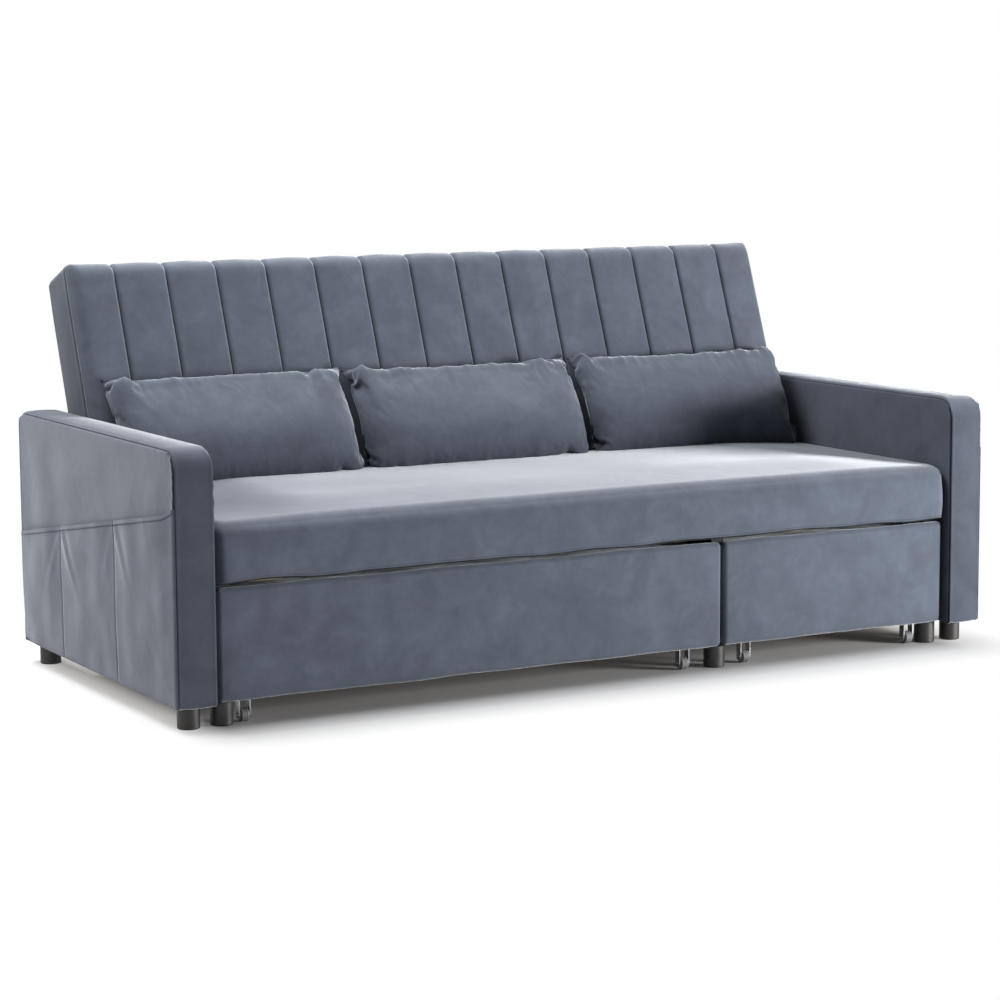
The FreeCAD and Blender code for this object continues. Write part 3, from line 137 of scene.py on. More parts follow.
class Look:
    """A procedural material with its shader and node tree at hand."""

    def __init__(self, name, **constants):
        self.material = bpy.data.materials.new(name)
        self.material.use_nodes = True
        self.tree = self.material.node_tree
        self.shader = self.tree.nodes["Principled BSDF"]
        for label, value in constants.items():
            self.shader.inputs[label.replace("_", " ")].default_value = value
        self.place = self.add("ShaderNodeTexCoord").outputs["Object"]

    def add(self, kind, inputs=None, **settings):
        made = self.tree.nodes.new(kind)
        for label, value in settings.items():
            setattr(made, label, value)
        for label, value in (inputs or {}).items():
            if isinstance(value, bpy.types.NodeSocket):
                self.tree.links.new(value, made.inputs[label])
            else:
                made.inputs[label].default_value = value
        return made

    def noise(self, scale, detail=2.0, roughness=0.5, distortion=0.0, stretch=None):
        """Noise with so many blotches a metre."""
        place = self.place
        if stretch:
            mapped = self.add("ShaderNodeMapping", {"Vector": place, "Scale": stretch})
            place = mapped.outputs["Vector"]
        values = {"Vector": place, "Scale": scale, "Detail": detail}
        values["Roughness"] = roughness
        values["Distortion"] = distortion
        return self.add("ShaderNodeTexNoise", values).outputs["Fac"]

    def ramp(self, factor, *stops):
        """A colour for each place on the factor's range."""
        made = self.add("ShaderNodeValToRGB", {"Fac": factor})
        bar = made.color_ramp.elements
        while len(bar) < len(stops):
            bar.new(0.5)
        for element, (place, colour) in zip(bar, stops):
            element.position = place
            element.color = (*colour, 1.0)
        return made.outputs["Color"]

    def span(self, factor, low, high, start=0.3, end=0.7):
        """The factor's range turned into another range of numbers."""
        values = {"Value": factor, "From Min": start, "From Max": end, "To Min": low, "To Max": high}
        return self.add("ShaderNodeMapRange", values).outputs["Result"]

    def mix(self, factor, first, second, mode="MIX"):
        made = self.add("ShaderNodeMix", data_type="RGBA", blend_type=mode)
        for socket, value in ((made.inputs[0], factor), (made.inputs[6], first), (made.inputs[7], second)):
            if isinstance(value, bpy.types.NodeSocket):
                self.tree.links.new(value, socket)
            elif isinstance(value, tuple):
                socket.default_value = (*value, 1.0)
            else:
                socket.default_value = value
        return made.outputs[2]

    def bump(self, *layers):
        """Raised detail from (height, depth in metres, strength) layers, the last one finest."""
        normal = None
        for height, depth, strength in layers:
            values = {"Height": height, "Distance": depth, "Strength": strength}
            if normal:
                values["Normal"] = normal
            normal = self.add("ShaderNodeBump", values).outputs["Normal"]
        self.tree.links.new(normal, self.shader.inputs["Normal"])

    def feed(self, label, value):
        self.tree.links.new(value, self.shader.inputs[label])


def shade(colour, factor):
    return tuple(channel * factor for channel in colour)


def velvet(name, colour, weight=1.0, mottle=0.16):
    """Short-pile velvet: a dark ground, a pale nap that catches grazing light, and brushed blotches."""
    tint = (0.90, 0.93, 0.97, 1.0)
    look = Look(name, Sheen_Weight=weight, Sheen_Roughness=0.34, Sheen_Tint=tint, Specular_IOR_Level=0.16)
    brushed = look.noise(12.0, 4.0, 0.6, 0.5)
    crushed = look.noise(48.0, 3.0, 0.6, 0.4)
    low = (0.30, shade(colour, 1 - mottle))
    high = (0.72, shade(colour, 1 + mottle))
    tone = look.ramp(brushed, low, (0.52, colour), high)
    flecks = look.ramp(crushed, (0.35, (0.93, 0.93, 0.94)), (0.65, (1.05, 1.05, 1.05)))
    blotched = look.mix(1.0, tone, flecks, "MULTIPLY")
    # A painted-shade attribute darkens the base towards a shadow tone on seam lines, undersides, the pillows'
    # lower halves and the arms' fronts.
    dark = look.add("ShaderNodeAttribute", attribute_name="painted_shade_amount").outputs["Fac"]
    look.feed("Base Color", look.mix(dark, blotched, shade(colour, 0.16)))
    look.feed("Roughness", look.span(crushed, 0.78, 0.98))
    pile = look.noise(1400.0, 1.0)
    look.bump((brushed, 0.0030, 0.22), (crushed, 0.0014, 0.22), (pile, 0.0005, 0.35))
    return look.material


def timber(name, pale, dark, grain=(3.0, 60.0, 60.0), roughness=0.62):
    """Planed or sawn wood with long grain and a few darker rings."""
    look = Look(name, Specular_IOR_Level=0.35)
    rings = look.noise(1.0, 5.0, 0.62, 0.9, grain)
    fibres = look.noise(7.0, 2.0, 0.5, 0.0, grain)
    tone = look.ramp(rings, (0.32, dark), (0.50, pale), (0.74, shade(pale, 1.12)))
    look.feed("Base Color", look.mix(0.35, tone, look.ramp(fibres, (0.3, dark), (0.7, pale)), "MIX"))
    look.feed("Roughness", look.span(fibres, roughness - 0.1, roughness + 0.14))
    look.bump((rings, 0.0006, 0.3), (fibres, 0.0003, 0.4))
    return look.material


def metal(name, colour, roughness, brushed=(40.0, 40.0, 900.0), **constants):
    """Bright or plated steel with fine drawing lines and handling marks."""
    look = Look(name, Metallic=1.0, **constants)
    lines = look.noise(1.0, 2.0, 0.5, 0.0, brushed)
    marks = look.noise(60.0, 3.0, 0.6, 0.5)
    look.feed("Base Color", look.ramp(marks, (0.3, shade(colour, 0.82)), (0.7, colour)))
    look.feed("Roughness", look.span(marks, roughness * 0.75, roughness * 1.35))
    look.bump((marks, 0.0002, 0.15), (lines, 0.00008, 0.3))
    return look.material


def coated(name, colour, roughness=0.42, texture=700.0, depth=0.00012, **constants):
    """Powder coat, lacquer or moulded plastic: an even colour with a fine texture and worn tones."""
    look = Look(name, **constants)
    worn = look.noise(28.0, 4.0, 0.6, 0.4)
    grain = look.noise(texture, 2.0)
    low = (0.30, shade(colour, 0.78))
    high = (0.85, shade(colour, 1.35))
    look.feed("Base Color", look.ramp(worn, low, (0.60, colour), high))
    look.feed("Roughness", look.span(worn, roughness - 0.08, roughness + 0.12))
    look.bump((worn, 0.0003, 0.2), (grain, depth, 0.5))
    return look.material


def lining(name, colour):
    """Thin non-woven cloth with pressed dots and slack ripples."""
    look = Look(name, Specular_IOR_Level=0.2, Sheen_Weight=0.15, Sheen_Roughness=0.5)
    slack = look.noise(6.0, 3.0, 0.5, 0.6)
    values = {"Vector": look.place, "Scale": 320.0, "Randomness": 0.15}
    dots = look.add("ShaderNodeTexVoronoi", values).outputs["Distance"]
    look.feed("Base Color", look.ramp(slack, (0.3, shade(colour, 0.75)), (0.7, shade(colour, 1.3))))
    look.feed("Roughness", look.span(slack, 0.8, 0.95))
    look.bump((slack, 0.004, 0.4), (dots, 0.0004, 0.5))
    return look.material


SLATE = (0.088, 0.102, 0.132)
LOOKS = {
    "velvet": velvet("velvet_slate", SLATE),
    "pocket_velvet": velvet("velvet_pocket", shade(SLATE, 1.03), mottle=0.18),
    "backing_velvet": velvet("velvet_backing", shade(SLATE, 0.86), mottle=0.14),
    "mattress_velvet": velvet("velvet_mattress", shade(SLATE, 1.05), mottle=0.20),
    "lining": lining("lining_black", (0.014, 0.014, 0.016)),
    "frame_wood": timber("pine", (0.62, 0.42, 0.22), (0.36, 0.21, 0.09)),
    "base_board": coated("board_cloth", (0.016, 0.018, 0.022), 0.82, 420.0, 0.0004),
    "bed_board": timber("plywood", (0.34, 0.22, 0.12), (0.19, 0.11, 0.055), (4.0, 34.0, 90.0)),
    "slat_wood": timber("slat_beech", (0.70, 0.50, 0.28), (0.48, 0.30, 0.14), (50.0, 3.5, 50.0), 0.5),
    "hinge_steel": coated("hinge_lacquer", (0.011, 0.011, 0.012), 0.36, Metallic=0.3),
    "deck_steel": coated("tube_powder_coat", (0.018, 0.018, 0.019), 0.46, 900.0, 0.0002),
    "zinc_steel": metal("zinc_plate", (0.52, 0.53, 0.55), 0.34),
    "caster_chrome": metal("stamped_chrome", (0.46, 0.46, 0.48), 0.22),
    "wheel_rubber": coated("wheel_tread", (0.15, 0.15, 0.155), 0.62, 800.0, 0.0002),
    "nylon": coated("nylon", (0.66, 0.64, 0.58), 0.45, 600.0, 0.0001, Subsurface_Weight=0.08),
    "leg_plastic": coated("leg_plastic", (0.013, 0.010, 0.009), 0.42, 650.0, 0.00015),
}
# Painted shade: darker, low-sheen copies of the velvet, one for the arms' inner faces and the backrest's end
# panels, one for faces deep in painted shade.
PAINTED_SIDE_SHADE = velvet("velvet_painted_side_shade", shade(SLATE, 0.66), 0.40)
PAINTED_SHADOW_VELVET = velvet("velvet_painted_shadow", shade(SLATE, 0.30), 0.06)
HUB = coated("wheel_hub", (0.60, 0.58, 0.52), 0.42, 500.0, 0.0001)

for item in frame["record"]["subparts"]:
    for slot in nodes[item["node"]].material_slots:
        slot.material = LOOKS[item["material_slot"]]


# Surfaces


def spaced(low, high, step, marks=()):
    """Places from low to high, close together at both ends and at each mark."""
    near = (0.0, 0.0009, 0.0019, 0.0031, 0.0047, 0.0068, 0.0095, 0.0130, 0.0175)
    places = set(np.linspace(low, high, max(2, round((high - low) / step)) + 1))
    for mark in (low, high, *marks):
        for gap in near:
            places.update((mark - gap, mark + gap))
    kept = [low]
    for place in sorted(p for p in places if low < p < high):
        if place - kept[-1] > 0.0008 and high - place > 0.0008:
            kept.append(place)
    return np.array([*kept, high])


def quads_of(grid):
    """The faces between neighbours on a grid of point numbers."""
    return np.stack([grid[:-1, :-1], grid[1:, :-1], grid[1:, 1:], grid[:-1, 1:]], -1).reshape(-1, 4)


def box_skin(xs, ys, zs):
    """The points and outward faces of a box whose sides are divided at the given places."""
    sizes = (len(xs), len(ys), len(zs))
    shown = np.ones(sizes, bool)
    shown[1:-1, 1:-1, 1:-1] = False
    index = np.full(sizes, -1, np.int64)
    index[shown] = np.arange(shown.sum())
    where = np.argwhere(shown)
    points = np.column_stack([xs[where[:, 0]], ys[where[:, 1]], zs[where[:, 2]]])
    faces = []
    for axis in range(3):
        for end in (0, -1):
            quads = quads_of(np.take(index, end, axis=axis))
            outward = (end == -1) != (axis == 1)
            faces.append(quads if outward else quads[:, ::-1])
    return points, np.concatenate(faces)


def roll(points, a, b, ends_a, ends_b, radii):
    """Rounds the four long edges along the third axis, from (low, low) round to (low, high)."""
    places = ((0, 0), (1, 0), (1, 1), (0, 1))
    for (end_a, end_b), radius in zip(places, radii):
        radius_a, radius_b = radius if isinstance(radius, tuple) else (radius, radius)
        out_a = 1 if end_a else -1
        out_b = 1 if end_b else -1
        centre_a = ends_a[end_a] - out_a * radius_a
        centre_b = ends_b[end_b] - out_b * radius_b
        u = np.clip((points[:, a] - centre_a) * out_a / radius_a, 0, 1)
        v = np.clip((points[:, b] - centre_b) * out_b / radius_b, 0, 1)
        inside = (u > 0) & (v > 0)
        round_u = u * np.sqrt(1 - v * v / 2)
        round_v = v * np.sqrt(1 - u * u / 2)
        points[inside, a] = centre_a + out_a * radius_a * round_u[inside]
        points[inside, b] = centre_b + out_b * radius_b * round_v[inside]


def outward(points, faces):
    """The unit normal at each point."""
    corners = points[faces]
    across = np.cross(corners[:, 2] - corners[:, 0], corners[:, 3] - corners[:, 1])
    total = np.zeros_like(points)
    for corner in range(4):
        np.add.at(total, faces[:, corner], across)
    return total / np.maximum(np.linalg.norm(total, axis=1, keepdims=True), 1e-12)


def ripple(points, length, seed, stretch=(1.0, 1.0, 1.0)):
    """Soft waves from about -1 to 1, so many metres long."""
    dice = np.random.default_rng(seed)
    total = np.zeros(len(points))
    for _ in range(8):
        way = dice.normal(size=3)
        way *= 2 * math.pi * dice.uniform(0.6, 1.5) / (length * np.linalg.norm(way))
        total += np.sin(points @ (way / np.array(stretch)) + dice.uniform(0, 2 * math.pi))
    return total / 3.2


def bell(distance, width):
    return np.exp(-((distance / width) ** 2))


def smooth(value, low, high):
    t = np.clip((value - low) / (high - low), 0, 1)
    return t * t * (3 - 2 * t)


def to_end(values, low, high):
    """Distance to the nearer end."""
    return np.minimum(values - low, high - values)


def piece(name, points, faces, slot, body, replaced=(), dark=None, looks=None, marks=None):
    """One object of the sofa, with its finish, riding on its body in place of its CAD nodes."""
    mesh = bpy.data.meshes.new(name)
    mesh.from_pydata(points.tolist(), [], [list(face) for face in faces])
    mesh.polygons.foreach_set("use_smooth", np.ones(len(mesh.polygons), bool))
    looks = list(looks or (LOOKS[slot],))
    marks = np.zeros(len(faces), int) if marks is None else marks
    # Faces deep in painted shade take the dark, low-sheen painted-shadow velvet; every point keeps its painted
    # shade as an attribute.
    if dark is not None:
        marks = np.where(dark[faces].mean(axis=1) > DEEP_SHADE, len(looks), marks)
        looks.append(PAINTED_SHADOW_VELVET)
    for look in looks:
        mesh.materials.append(look)
    mesh.polygons.foreach_set("material_index", marks)
    if dark is not None:
        shades = mesh.attributes.new("painted_shade_amount", "FLOAT", "POINT")
        shades.data.foreach_set("value", np.clip(dark, 0, 1).astype(np.float32))
    mesh.update()
    made = bpy.data.objects.new(name, mesh)
    bpy.context.scene.collection.objects.link(made)
    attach(made, body)
    if replaced:
        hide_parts(*replaced)
    return made


def stitched(distance, depth=SEAM_DEPTH, width=SEAM_WIDTH):
    """How far a sewn line draws the cover in, with a small swell on each side, and its shade."""
    drawn = -depth * bell(distance, width) + 0.45 * depth * bell(distance - 3.2 * width, 1.6 * width)
    return drawn, 0.75 * bell(distance, 0.7 * width)


# Arms


def arm_side(place, to_edge, side):
    """How far the arm's side swells out or falls back, so far in from its edges."""
    slack = 0.0008 * ripple(place, 0.20, 11 if side == "left" else 12) * np.clip(to_edge / 0.08, 0, 1)
    return ARM_SIDE_CROWN * (smooth(to_edge, 0.0, 0.16) - 1) + slack


def arm_cover(side):
    """A slim arm: a boxing strip over the top and round the front and rear, sewn to two flat sides."""
    name = f"{side}_arm_cover"
    low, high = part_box(name)
    xs = spaced(low.x, high.x, 0.010)
    ys = spaced(low.y, high.y, 0.0085)
    zs = spaced(low.z, high.z, 0.0085)
    points, faces = box_skin(xs, ys, zs)
    rest = points.copy()
    roll(points, 0, 1, (low.x, high.x), (low.y, high.y), [ARM_EDGE_ROUND] * 4)
    edges = (0.006, 0.006, ARM_TOP_EDGE_ROUND, ARM_TOP_EDGE_ROUND)
    roll(points, 0, 2, (low.x, high.x), (low.z, high.z), edges)
    corners = (ARM_FOOT_ROUND, ARM_FOOT_ROUND, ARM_REAR_ROUND, ARM_FRONT_ROUND)
    roll(points, 1, 2, (low.y, high.y), (low.z, high.z), corners)
    normals = outward(points, faces)
    across = to_end(rest[:, 0], low.x, high.x)
    depth = rest[:, 1] - low.y
    rear = high.y - rest[:, 1]
    above = rest[:, 2] - low.z
    below_top = high.z - rest[:, 2]
    to_edge = np.minimum.reduce([depth, rear, above, below_top])
    on_side = across < 1e-6
    drawn, shadow = stitched(across + to_edge)
    crown = np.where(on_side, arm_side(rest, to_edge, side), 0.0018 * (smooth(across, 0.0, 0.045) - 1))
    angle = np.arctan2(below_top - ARM_FRONT_ROUND, depth - ARM_FRONT_ROUND)
    near_corner = smooth(to_edge, 0.040, 0.004) * (depth < 0.10) * (below_top < 0.12) * on_side
    pleats = 0.0010 * np.sin(angle * 15) * near_corner
    tucked = -0.0050 * bell(rear, 0.06) * bell(above, 0.10) * on_side
    waves = 0.0010 * ripple(rest, 0.13, 13) * bell(above, 0.03)
    sag = 0.0030 * bell(depth, 0.03) * bell(above, 0.02) * (side == "right")
    points += normals * (drawn + crown + pleats + tucked)[:, None]
    points[:, 2] += waves - sag
    # Painted shade darkens the front strip below its top round.
    shadow += 0.34 * smooth(depth, 0.030, 0.004) * smooth(below_top, 0.0, 0.05) * ~on_side
    # The arm's inner face takes the painted side-shade velvet.
    middle = (low.x + high.x) / 2
    centres = rest[faces].mean(axis=1)
    inner = centres[:, 0] > high.x - 1e-6 if middle < 0 else centres[:, 0] < low.x + 1e-6
    looks = (LOOKS["velvet"], PAINTED_SIDE_SHADE)
    cover = piece(f"{side}_arm", points, faces, "velvet", "sofa", [name], shadow, looks, inner.astype(int))


def edge_fall(gap, radius):
    """How far a rounded edge falls back, so far in from it."""
    share = 1 - np.clip(gap / radius, 0, 1)
    return radius * (1 - np.sqrt(1 - share**2))


def arm_pockets(side):
    """Three deep pockets in one cloth over the arm's outer side, sewn into its seams, with a turned hem."""
    name = f"{side}_arm_pockets"
    low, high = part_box(f"{side}_arm_cover")
    out = 1 if side == "right" else -1
    face = high.x if side == "right" else low.x
    start = low.y + POCKET_TUCK
    end = high.y - POCKET_TUCK
    bottom = low.z + POCKET_TUCK
    tall = POCKET_HEM_START - bottom
    ys = spaced(start, end, 0.007, [low.y + depth for depth in POCKET_SEAMS[1:3]])
    shares = spaced(0.0, tall, 0.007, (tall - POCKET_HEM,)) / tall
    y, share = (values.ravel() for values in np.meshgrid(ys, shares, indexing="ij"))
    depth = y - low.y
    rear = high.y - y
    hem = POCKET_HEM_START - POCKET_HEM_FALL * depth + 0.010 * bell(depth, 0.035)
    height = bottom + share * (hem - bottom)
    below_hem = hem - height
    above = height - low.z
    seam_gap = np.min([np.abs(depth - place) for place in POCKET_SEAMS[1:3]], axis=0)
    sides = np.minimum(depth, rear)
    away = smooth(np.minimum(seam_gap, sides), 0.0, 0.10)
    full = 0.0014 + 0.0030 * away * smooth(below_hem, 0.30, 0.02)
    turned = 0.0009 * smooth(below_hem, POCKET_HEM + 0.001, POCKET_HEM - 0.001)
    folds = np.zeros(len(y))
    for place, lean, strength in ((POCKET_SEAMS[1], 0.50, 1.0), (POCKET_SEAMS[2], 0.62, 1.3)):
        for way, share_of in ((-1, 1.0), (1, 0.35)):
            line = depth - place - way * lean * below_hem
            reach = smooth(below_hem, 0.0, 0.03) * smooth(below_hem, 0.19, 0.06) * strength * share_of
            folds += (0.0014 * bell(line, 0.013) - 0.0008 * bell(line - way * 0.022, 0.014)) * reach
    slack = 0.0008 * ripple(np.column_stack([y * 0, y, height]), 0.12, 21 if out > 0 else 22) * away
    stitch = 0.0008 * bell(below_hem - POCKET_HEM, 0.0016)
    lift = full + turned + folds + slack - 0.0012 * bell(seam_gap, 0.0032) - stitch
    lift *= smooth(np.minimum(sides, above), 0.0, 0.014)
    lift = np.clip(lift, 0.0004, 0.0070)
    to_edge = np.minimum(sides, above)
    under = arm_side(np.column_stack([y * 0 + face, y, height]), to_edge, side)
    under -= 0.0050 * bell(rear, 0.06) * bell(above, 0.10)
    fall = edge_fall(sides, ARM_EDGE_ROUND) + edge_fall(above, 0.006)
    x = face + out * (lift + under - fall)
    points = np.column_stack([x, y, height])
    grid = np.arange(len(points)).reshape(len(ys), len(shares))
    faces = quads_of(grid)
    if out < 0:
        faces = faces[:, ::-1]
    shadow = 0.50 * bell(seam_gap, 0.0011) + 0.40 * bell(below_hem - POCKET_HEM, 0.0008)
    cloth = piece(f"{side}_pockets", points, faces, "pocket_velvet", "sofa", [name], shadow)
    thickness = cloth.modifiers.new("cloth", "SOLIDIFY")
    thickness.thickness = 0.0010
    thickness.offset = 1.0
    apply_modifiers(cloth)


def apply_modifiers(made):
    """The object's modifiers become part of its mesh."""
    shown = made.evaluated_get(bpy.context.evaluated_depsgraph_get())
    mesh = bpy.data.meshes.new_from_object(shown)
    old = made.data
    made.modifiers.clear()
    made.data = mesh
    bpy.data.meshes.remove(old)
    mesh.name = made.name


# Seat


def seat_cushion():
    """The long seat: a firm crowned top, a soft rolled front and a boxed underside."""
    low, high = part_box("seat_cushion")
    xs = spaced(low.x, high.x, 0.012)
    ys = spaced(low.y, high.y, 0.009)
    zs = spaced(low.z, high.z, 0.006)
    points, faces = box_skin(xs, ys, zs)
    rest = points.copy()
    along = to_end(rest[:, 0], low.x, high.x)
    from_front = rest[:, 1] - low.y
    up = (rest[:, 2] - low.z) / (high.z - low.z)
    rear_round = (SEAT_REAR_ROUND, SEAT_REAR_ROUND)
    roll(points, 0, 1, (low.x, high.x), (low.y, high.y), (SEAT_END_ROUND, SEAT_END_ROUND, *rear_round))
    roll(points, 0, 2, (low.x, high.x), (low.z, high.z), (0.006, 0.006, SEAT_END_ROUND, SEAT_END_ROUND))
    corners = (0.012, 0.006, SEAT_REAR_ROUND, (SEAT_FRONT_ROUND * 1.25, SEAT_FRONT_ROUND))
    roll(points, 1, 2, (low.y, high.y), (low.z, high.z), corners)
    fullness = smooth(along, -0.02, 0.30) * smooth(from_front, -0.05, 0.24)
    dip = (high.z - SEAT_EDGE_HEIGHT) * (1 - fullness)
    waves = 0.0014 * ripple(rest, 0.36, 31, (1.6, 1.0, 1.0)) * fullness
    points[:, 2] -= up * (dip + 0.0018 - waves)
    near_front = smooth(from_front, 0.10, 0.0)
    rolled = SEAT_FRONT_BOW * smooth(up, 0.35, 1.15) + 0.0045 * smooth(up, 0.30, -0.05)
    points[:, 1] += near_front * rolled
    under_front = smooth(from_front, 0.05, 0.0) * smooth(up, 0.40, 0.0)
    wavy = 0.0020 * ripple(rest, 0.26, 32)
    points[:, 2] += (wavy - SEAT_FRONT_DROP) * under_front
    puckers = 0.0011 * ripple(rest, 0.07, 33, (0.8, 1.0, 2.5)) * smooth(up, 0.45, 0.02)
    folds = 0.0012 * ripple(rest, 0.30, 34, (1.4, 1.0, 0.7))
    points[:, 1] += near_front * (puckers + folds)
    # A dark line along the front hem, and painted shade over the underside.
    shadow = 0.45 * bell(rest[:, 2] - low.z - 0.009, 0.0018) * (from_front < 1e-6)
    shadow += 0.9 * smooth(up, 0.03, 0.0)
    cover = piece("seat", points, faces, "velvet", "sofa", ["seat_cushion"], shadow)


def dust_cloth():
    """Two fields of black lining under the seat, slack between their staples."""
    low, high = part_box("seat_dust_cloth")
    board_low, board_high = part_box("middle_base_board")
    fields = ((low.x, board_low.x), (board_high.x, high.x))
    for label, (start, end) in zip(("left", "right"), fields):
        xs = np.linspace(start, end, 60)
        ys = np.linspace(low.y, high.y, 40)
        x, y = (values.ravel() for values in np.meshgrid(xs, ys, indexing="ij"))
        sag = smooth(np.minimum(to_end(x, start, end), to_end(y, low.y, high.y)), 0.0, 0.12)
        z = high.z - 0.0004 - 0.004 * sag
        grid = np.arange(len(x)).reshape(60, 40)
        faces = quads_of(grid.T)
        points = np.column_stack([x, y, z])
        cloth = piece(f"dust_cloth_{label}", points, faces, "lining", "sofa", ["seat_dust_cloth"])


# Backrest


def lean_points(points, pivot):
    """Turns points given as (across, thickness, height above the pivot) to the backrest's lean."""
    sine = math.sin(BACK_LEAN)
    cosine = math.cos(BACK_LEAN)
    y = pivot[1] + points[:, 2] * sine + points[:, 1] * cosine
    z = pivot[2] + points[:, 2] * cosine - points[:, 1] * sine
    return np.column_stack([points[:, 0], y, z])


def backrest_pad():
    """Upright channels between two rounded end panels, sewn over the top, with a gusset at each end."""
    pivot = joints["backrest_recline"]["pos_m"]
    low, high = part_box("backrest_pad")
    seams = [CHANNEL_FIRST + i * CHANNEL_PITCH for i in range(CHANNEL_SEAMS)]
    xs = spaced(low.x, high.x, 0.011, seams)
    ts = spaced(-BACK_HALF, BACK_HALF, 0.009, (BACK_GUSSET - BACK_HALF,))
    ss = spaced(-BACK_HALF, BACK_LENGTH, 0.013)
    points, faces = box_skin(xs, ts, ss)
    rest = points.copy()
    front_round = (BACK_END_WIDTH, BACK_END_ROUND)
    roll(points, 0, 1, (low.x, high.x), (-BACK_HALF, BACK_HALF), (front_round, front_round, 0.006, 0.006))
    roll(points, 0, 2, (low.x, high.x), (-BACK_HALF, BACK_LENGTH), (0.02, 0.02, 0.016, 0.016))
    corners = (BACK_HALF, BACK_HALF, BACK_REAR_ROUND, BACK_TOP_ROUND)
    roll(points, 1, 2, (-BACK_HALF, BACK_HALF), (-BACK_HALF, BACK_LENGTH), corners)
    normals = outward(points, faces)
    across = to_end(rest[:, 0], low.x, high.x)
    seam_gap = np.min([np.abs(rest[:, 0] - place) for place in seams], axis=0)
    sewn = smooth(rest[:, 1], BACK_HALF * 0.96, BACK_HALF * 0.55)
    level_top = 1 - 0.65 * smooth(rest[:, 2], BACK_LENGTH - 0.06, BACK_LENGTH - 0.01)
    puffed = np.sqrt(np.clip(seam_gap / CHANNEL_HALF, 0, 1))
    valley = 0.0050 * bell(seam_gap, 0.0048) + BACK_CROWN * (1 - puffed) * level_top
    facing = smooth(rest[:, 1], 0.0, -BACK_HALF)
    slack = 0.0009 * ripple(rest, 0.19, 41, (0.7, 1.0, 2.2)) * facing
    on_end = across < 1e-6
    gusset_gap = np.abs(rest[:, 1] + BACK_HALF - BACK_GUSSET)
    gusset, gusset_shade = stitched(gusset_gap, 0.0018, 0.0026)
    swell = 0.0035 * bell(rest[:, 1] - 0.02, 0.06) * smooth(BACK_LENGTH - rest[:, 2], 0.0, 0.10)
    drawn = -valley * sewn * smooth(across, 0.0, 0.04) + slack + (gusset + swell) * on_end
    points += normals * drawn[:, None]
    shadow = 0.55 * bell(seam_gap, 0.0018) * sewn + 0.6 * gusset_shade * on_end
    # The end panels behind the gusset seam take the painted side-shade velvet.
    centres = rest[faces].mean(axis=1)
    ends = (to_end(centres[:, 0], low.x, high.x) < 1e-6) & (centres[:, 1] > BACK_GUSSET - BACK_HALF)
    looks = (LOOKS["velvet"], PAINTED_SIDE_SHADE)
    placed = lean_points(points, pivot)
    marks = ends.astype(int)
    cover = piece("backrest", placed, faces, "velvet", "backrest", ["backrest_pad"], shadow, looks, marks)


def board_skin(name, node, slot, body, round_edge, step, crown, seed, wave=0.0010):
    """Velvet pulled tight round a padded board that faces front or rear."""
    low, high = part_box(node)
    xs = spaced(low.x, high.x, step)
    ys = spaced(low.y, high.y, 0.005)
    zs = spaced(low.z, high.z, step)
    points, faces = box_skin(xs, ys, zs)
    rest = points.copy()
    edges = [round_edge] * 4
    roll(points, 0, 1, (low.x, high.x), (low.y, high.y), edges)
    roll(points, 0, 2, (low.x, high.x), (low.z, high.z), edges)
    roll(points, 1, 2, (low.y, high.y), (low.z, high.z), edges)
    along = to_end(rest[:, 0], low.x, high.x)
    tall = to_end(rest[:, 2], low.z, high.z)
    thick = (rest[:, 1] - (low.y + high.y) / 2) / (high.y - low.y) * 2
    full = smooth(np.minimum(along, tall), -0.01, 0.05)
    points[:, 1] -= thick * crown * (1 - full)
    upright = (rest[:, 2] - (low.z + high.z) / 2) / (high.z - low.z) * 2
    inside = np.abs(upright) * wave
    points[:, 2] += wave * ripple(rest, 0.20, seed) * np.abs(upright) - upright * inside
    points[:, 1] += 0.0006 * ripple(rest, 0.09, seed + 1) * full * -thick
    return piece(name, points, faces, slot, body, [node])


def front_panel(bed):
    panel = board_skin(f"{bed}_panel", f"{bed}_front_panel", "velvet", bed, PANEL_ROUND, 0.011, 0.0028, 51)


def rear_boards():
    rear = board_skin("rear_cover", "rear_panel", "velvet", "sofa", 0.004, 0.016, 0.0015, 61)
    pivot = joints["backrest_recline"]["pos_m"]
    low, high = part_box("backrest_rear_cover")
    reach = (high.z - low.z) / math.cos(BACK_LEAN)
    bottom = BACK_LENGTH - BACK_HALF * 0.45 - reach
    xs = spaced(low.x, high.x, 0.02)
    ts = np.array([BACK_HALF - 0.003, BACK_HALF - 0.0015, BACK_HALF])
    ss = spaced(bottom, bottom + reach, 0.02)
    points, faces = box_skin(xs, ts, ss)
    gathers = 0.0005 * ripple(points, 0.12, 71)
    edge = np.minimum(to_end(points[:, 0], low.x, high.x), to_end(points[:, 2], bottom, bottom + reach))
    points[:, 1] += (gathers - 0.0010 * bell(edge, 0.01) - 0.0006) * (points[:, 1] > BACK_HALF - 0.001)
    shadow = 0.5 * bell(edge - 0.006, 0.0015)
    placed = lean_points(points, pivot)
    replaced = ["backrest_rear_cover"]
    cover = piece("backrest_back", placed, faces, "backing_velvet", "backrest", replaced, shadow)


# Pillows


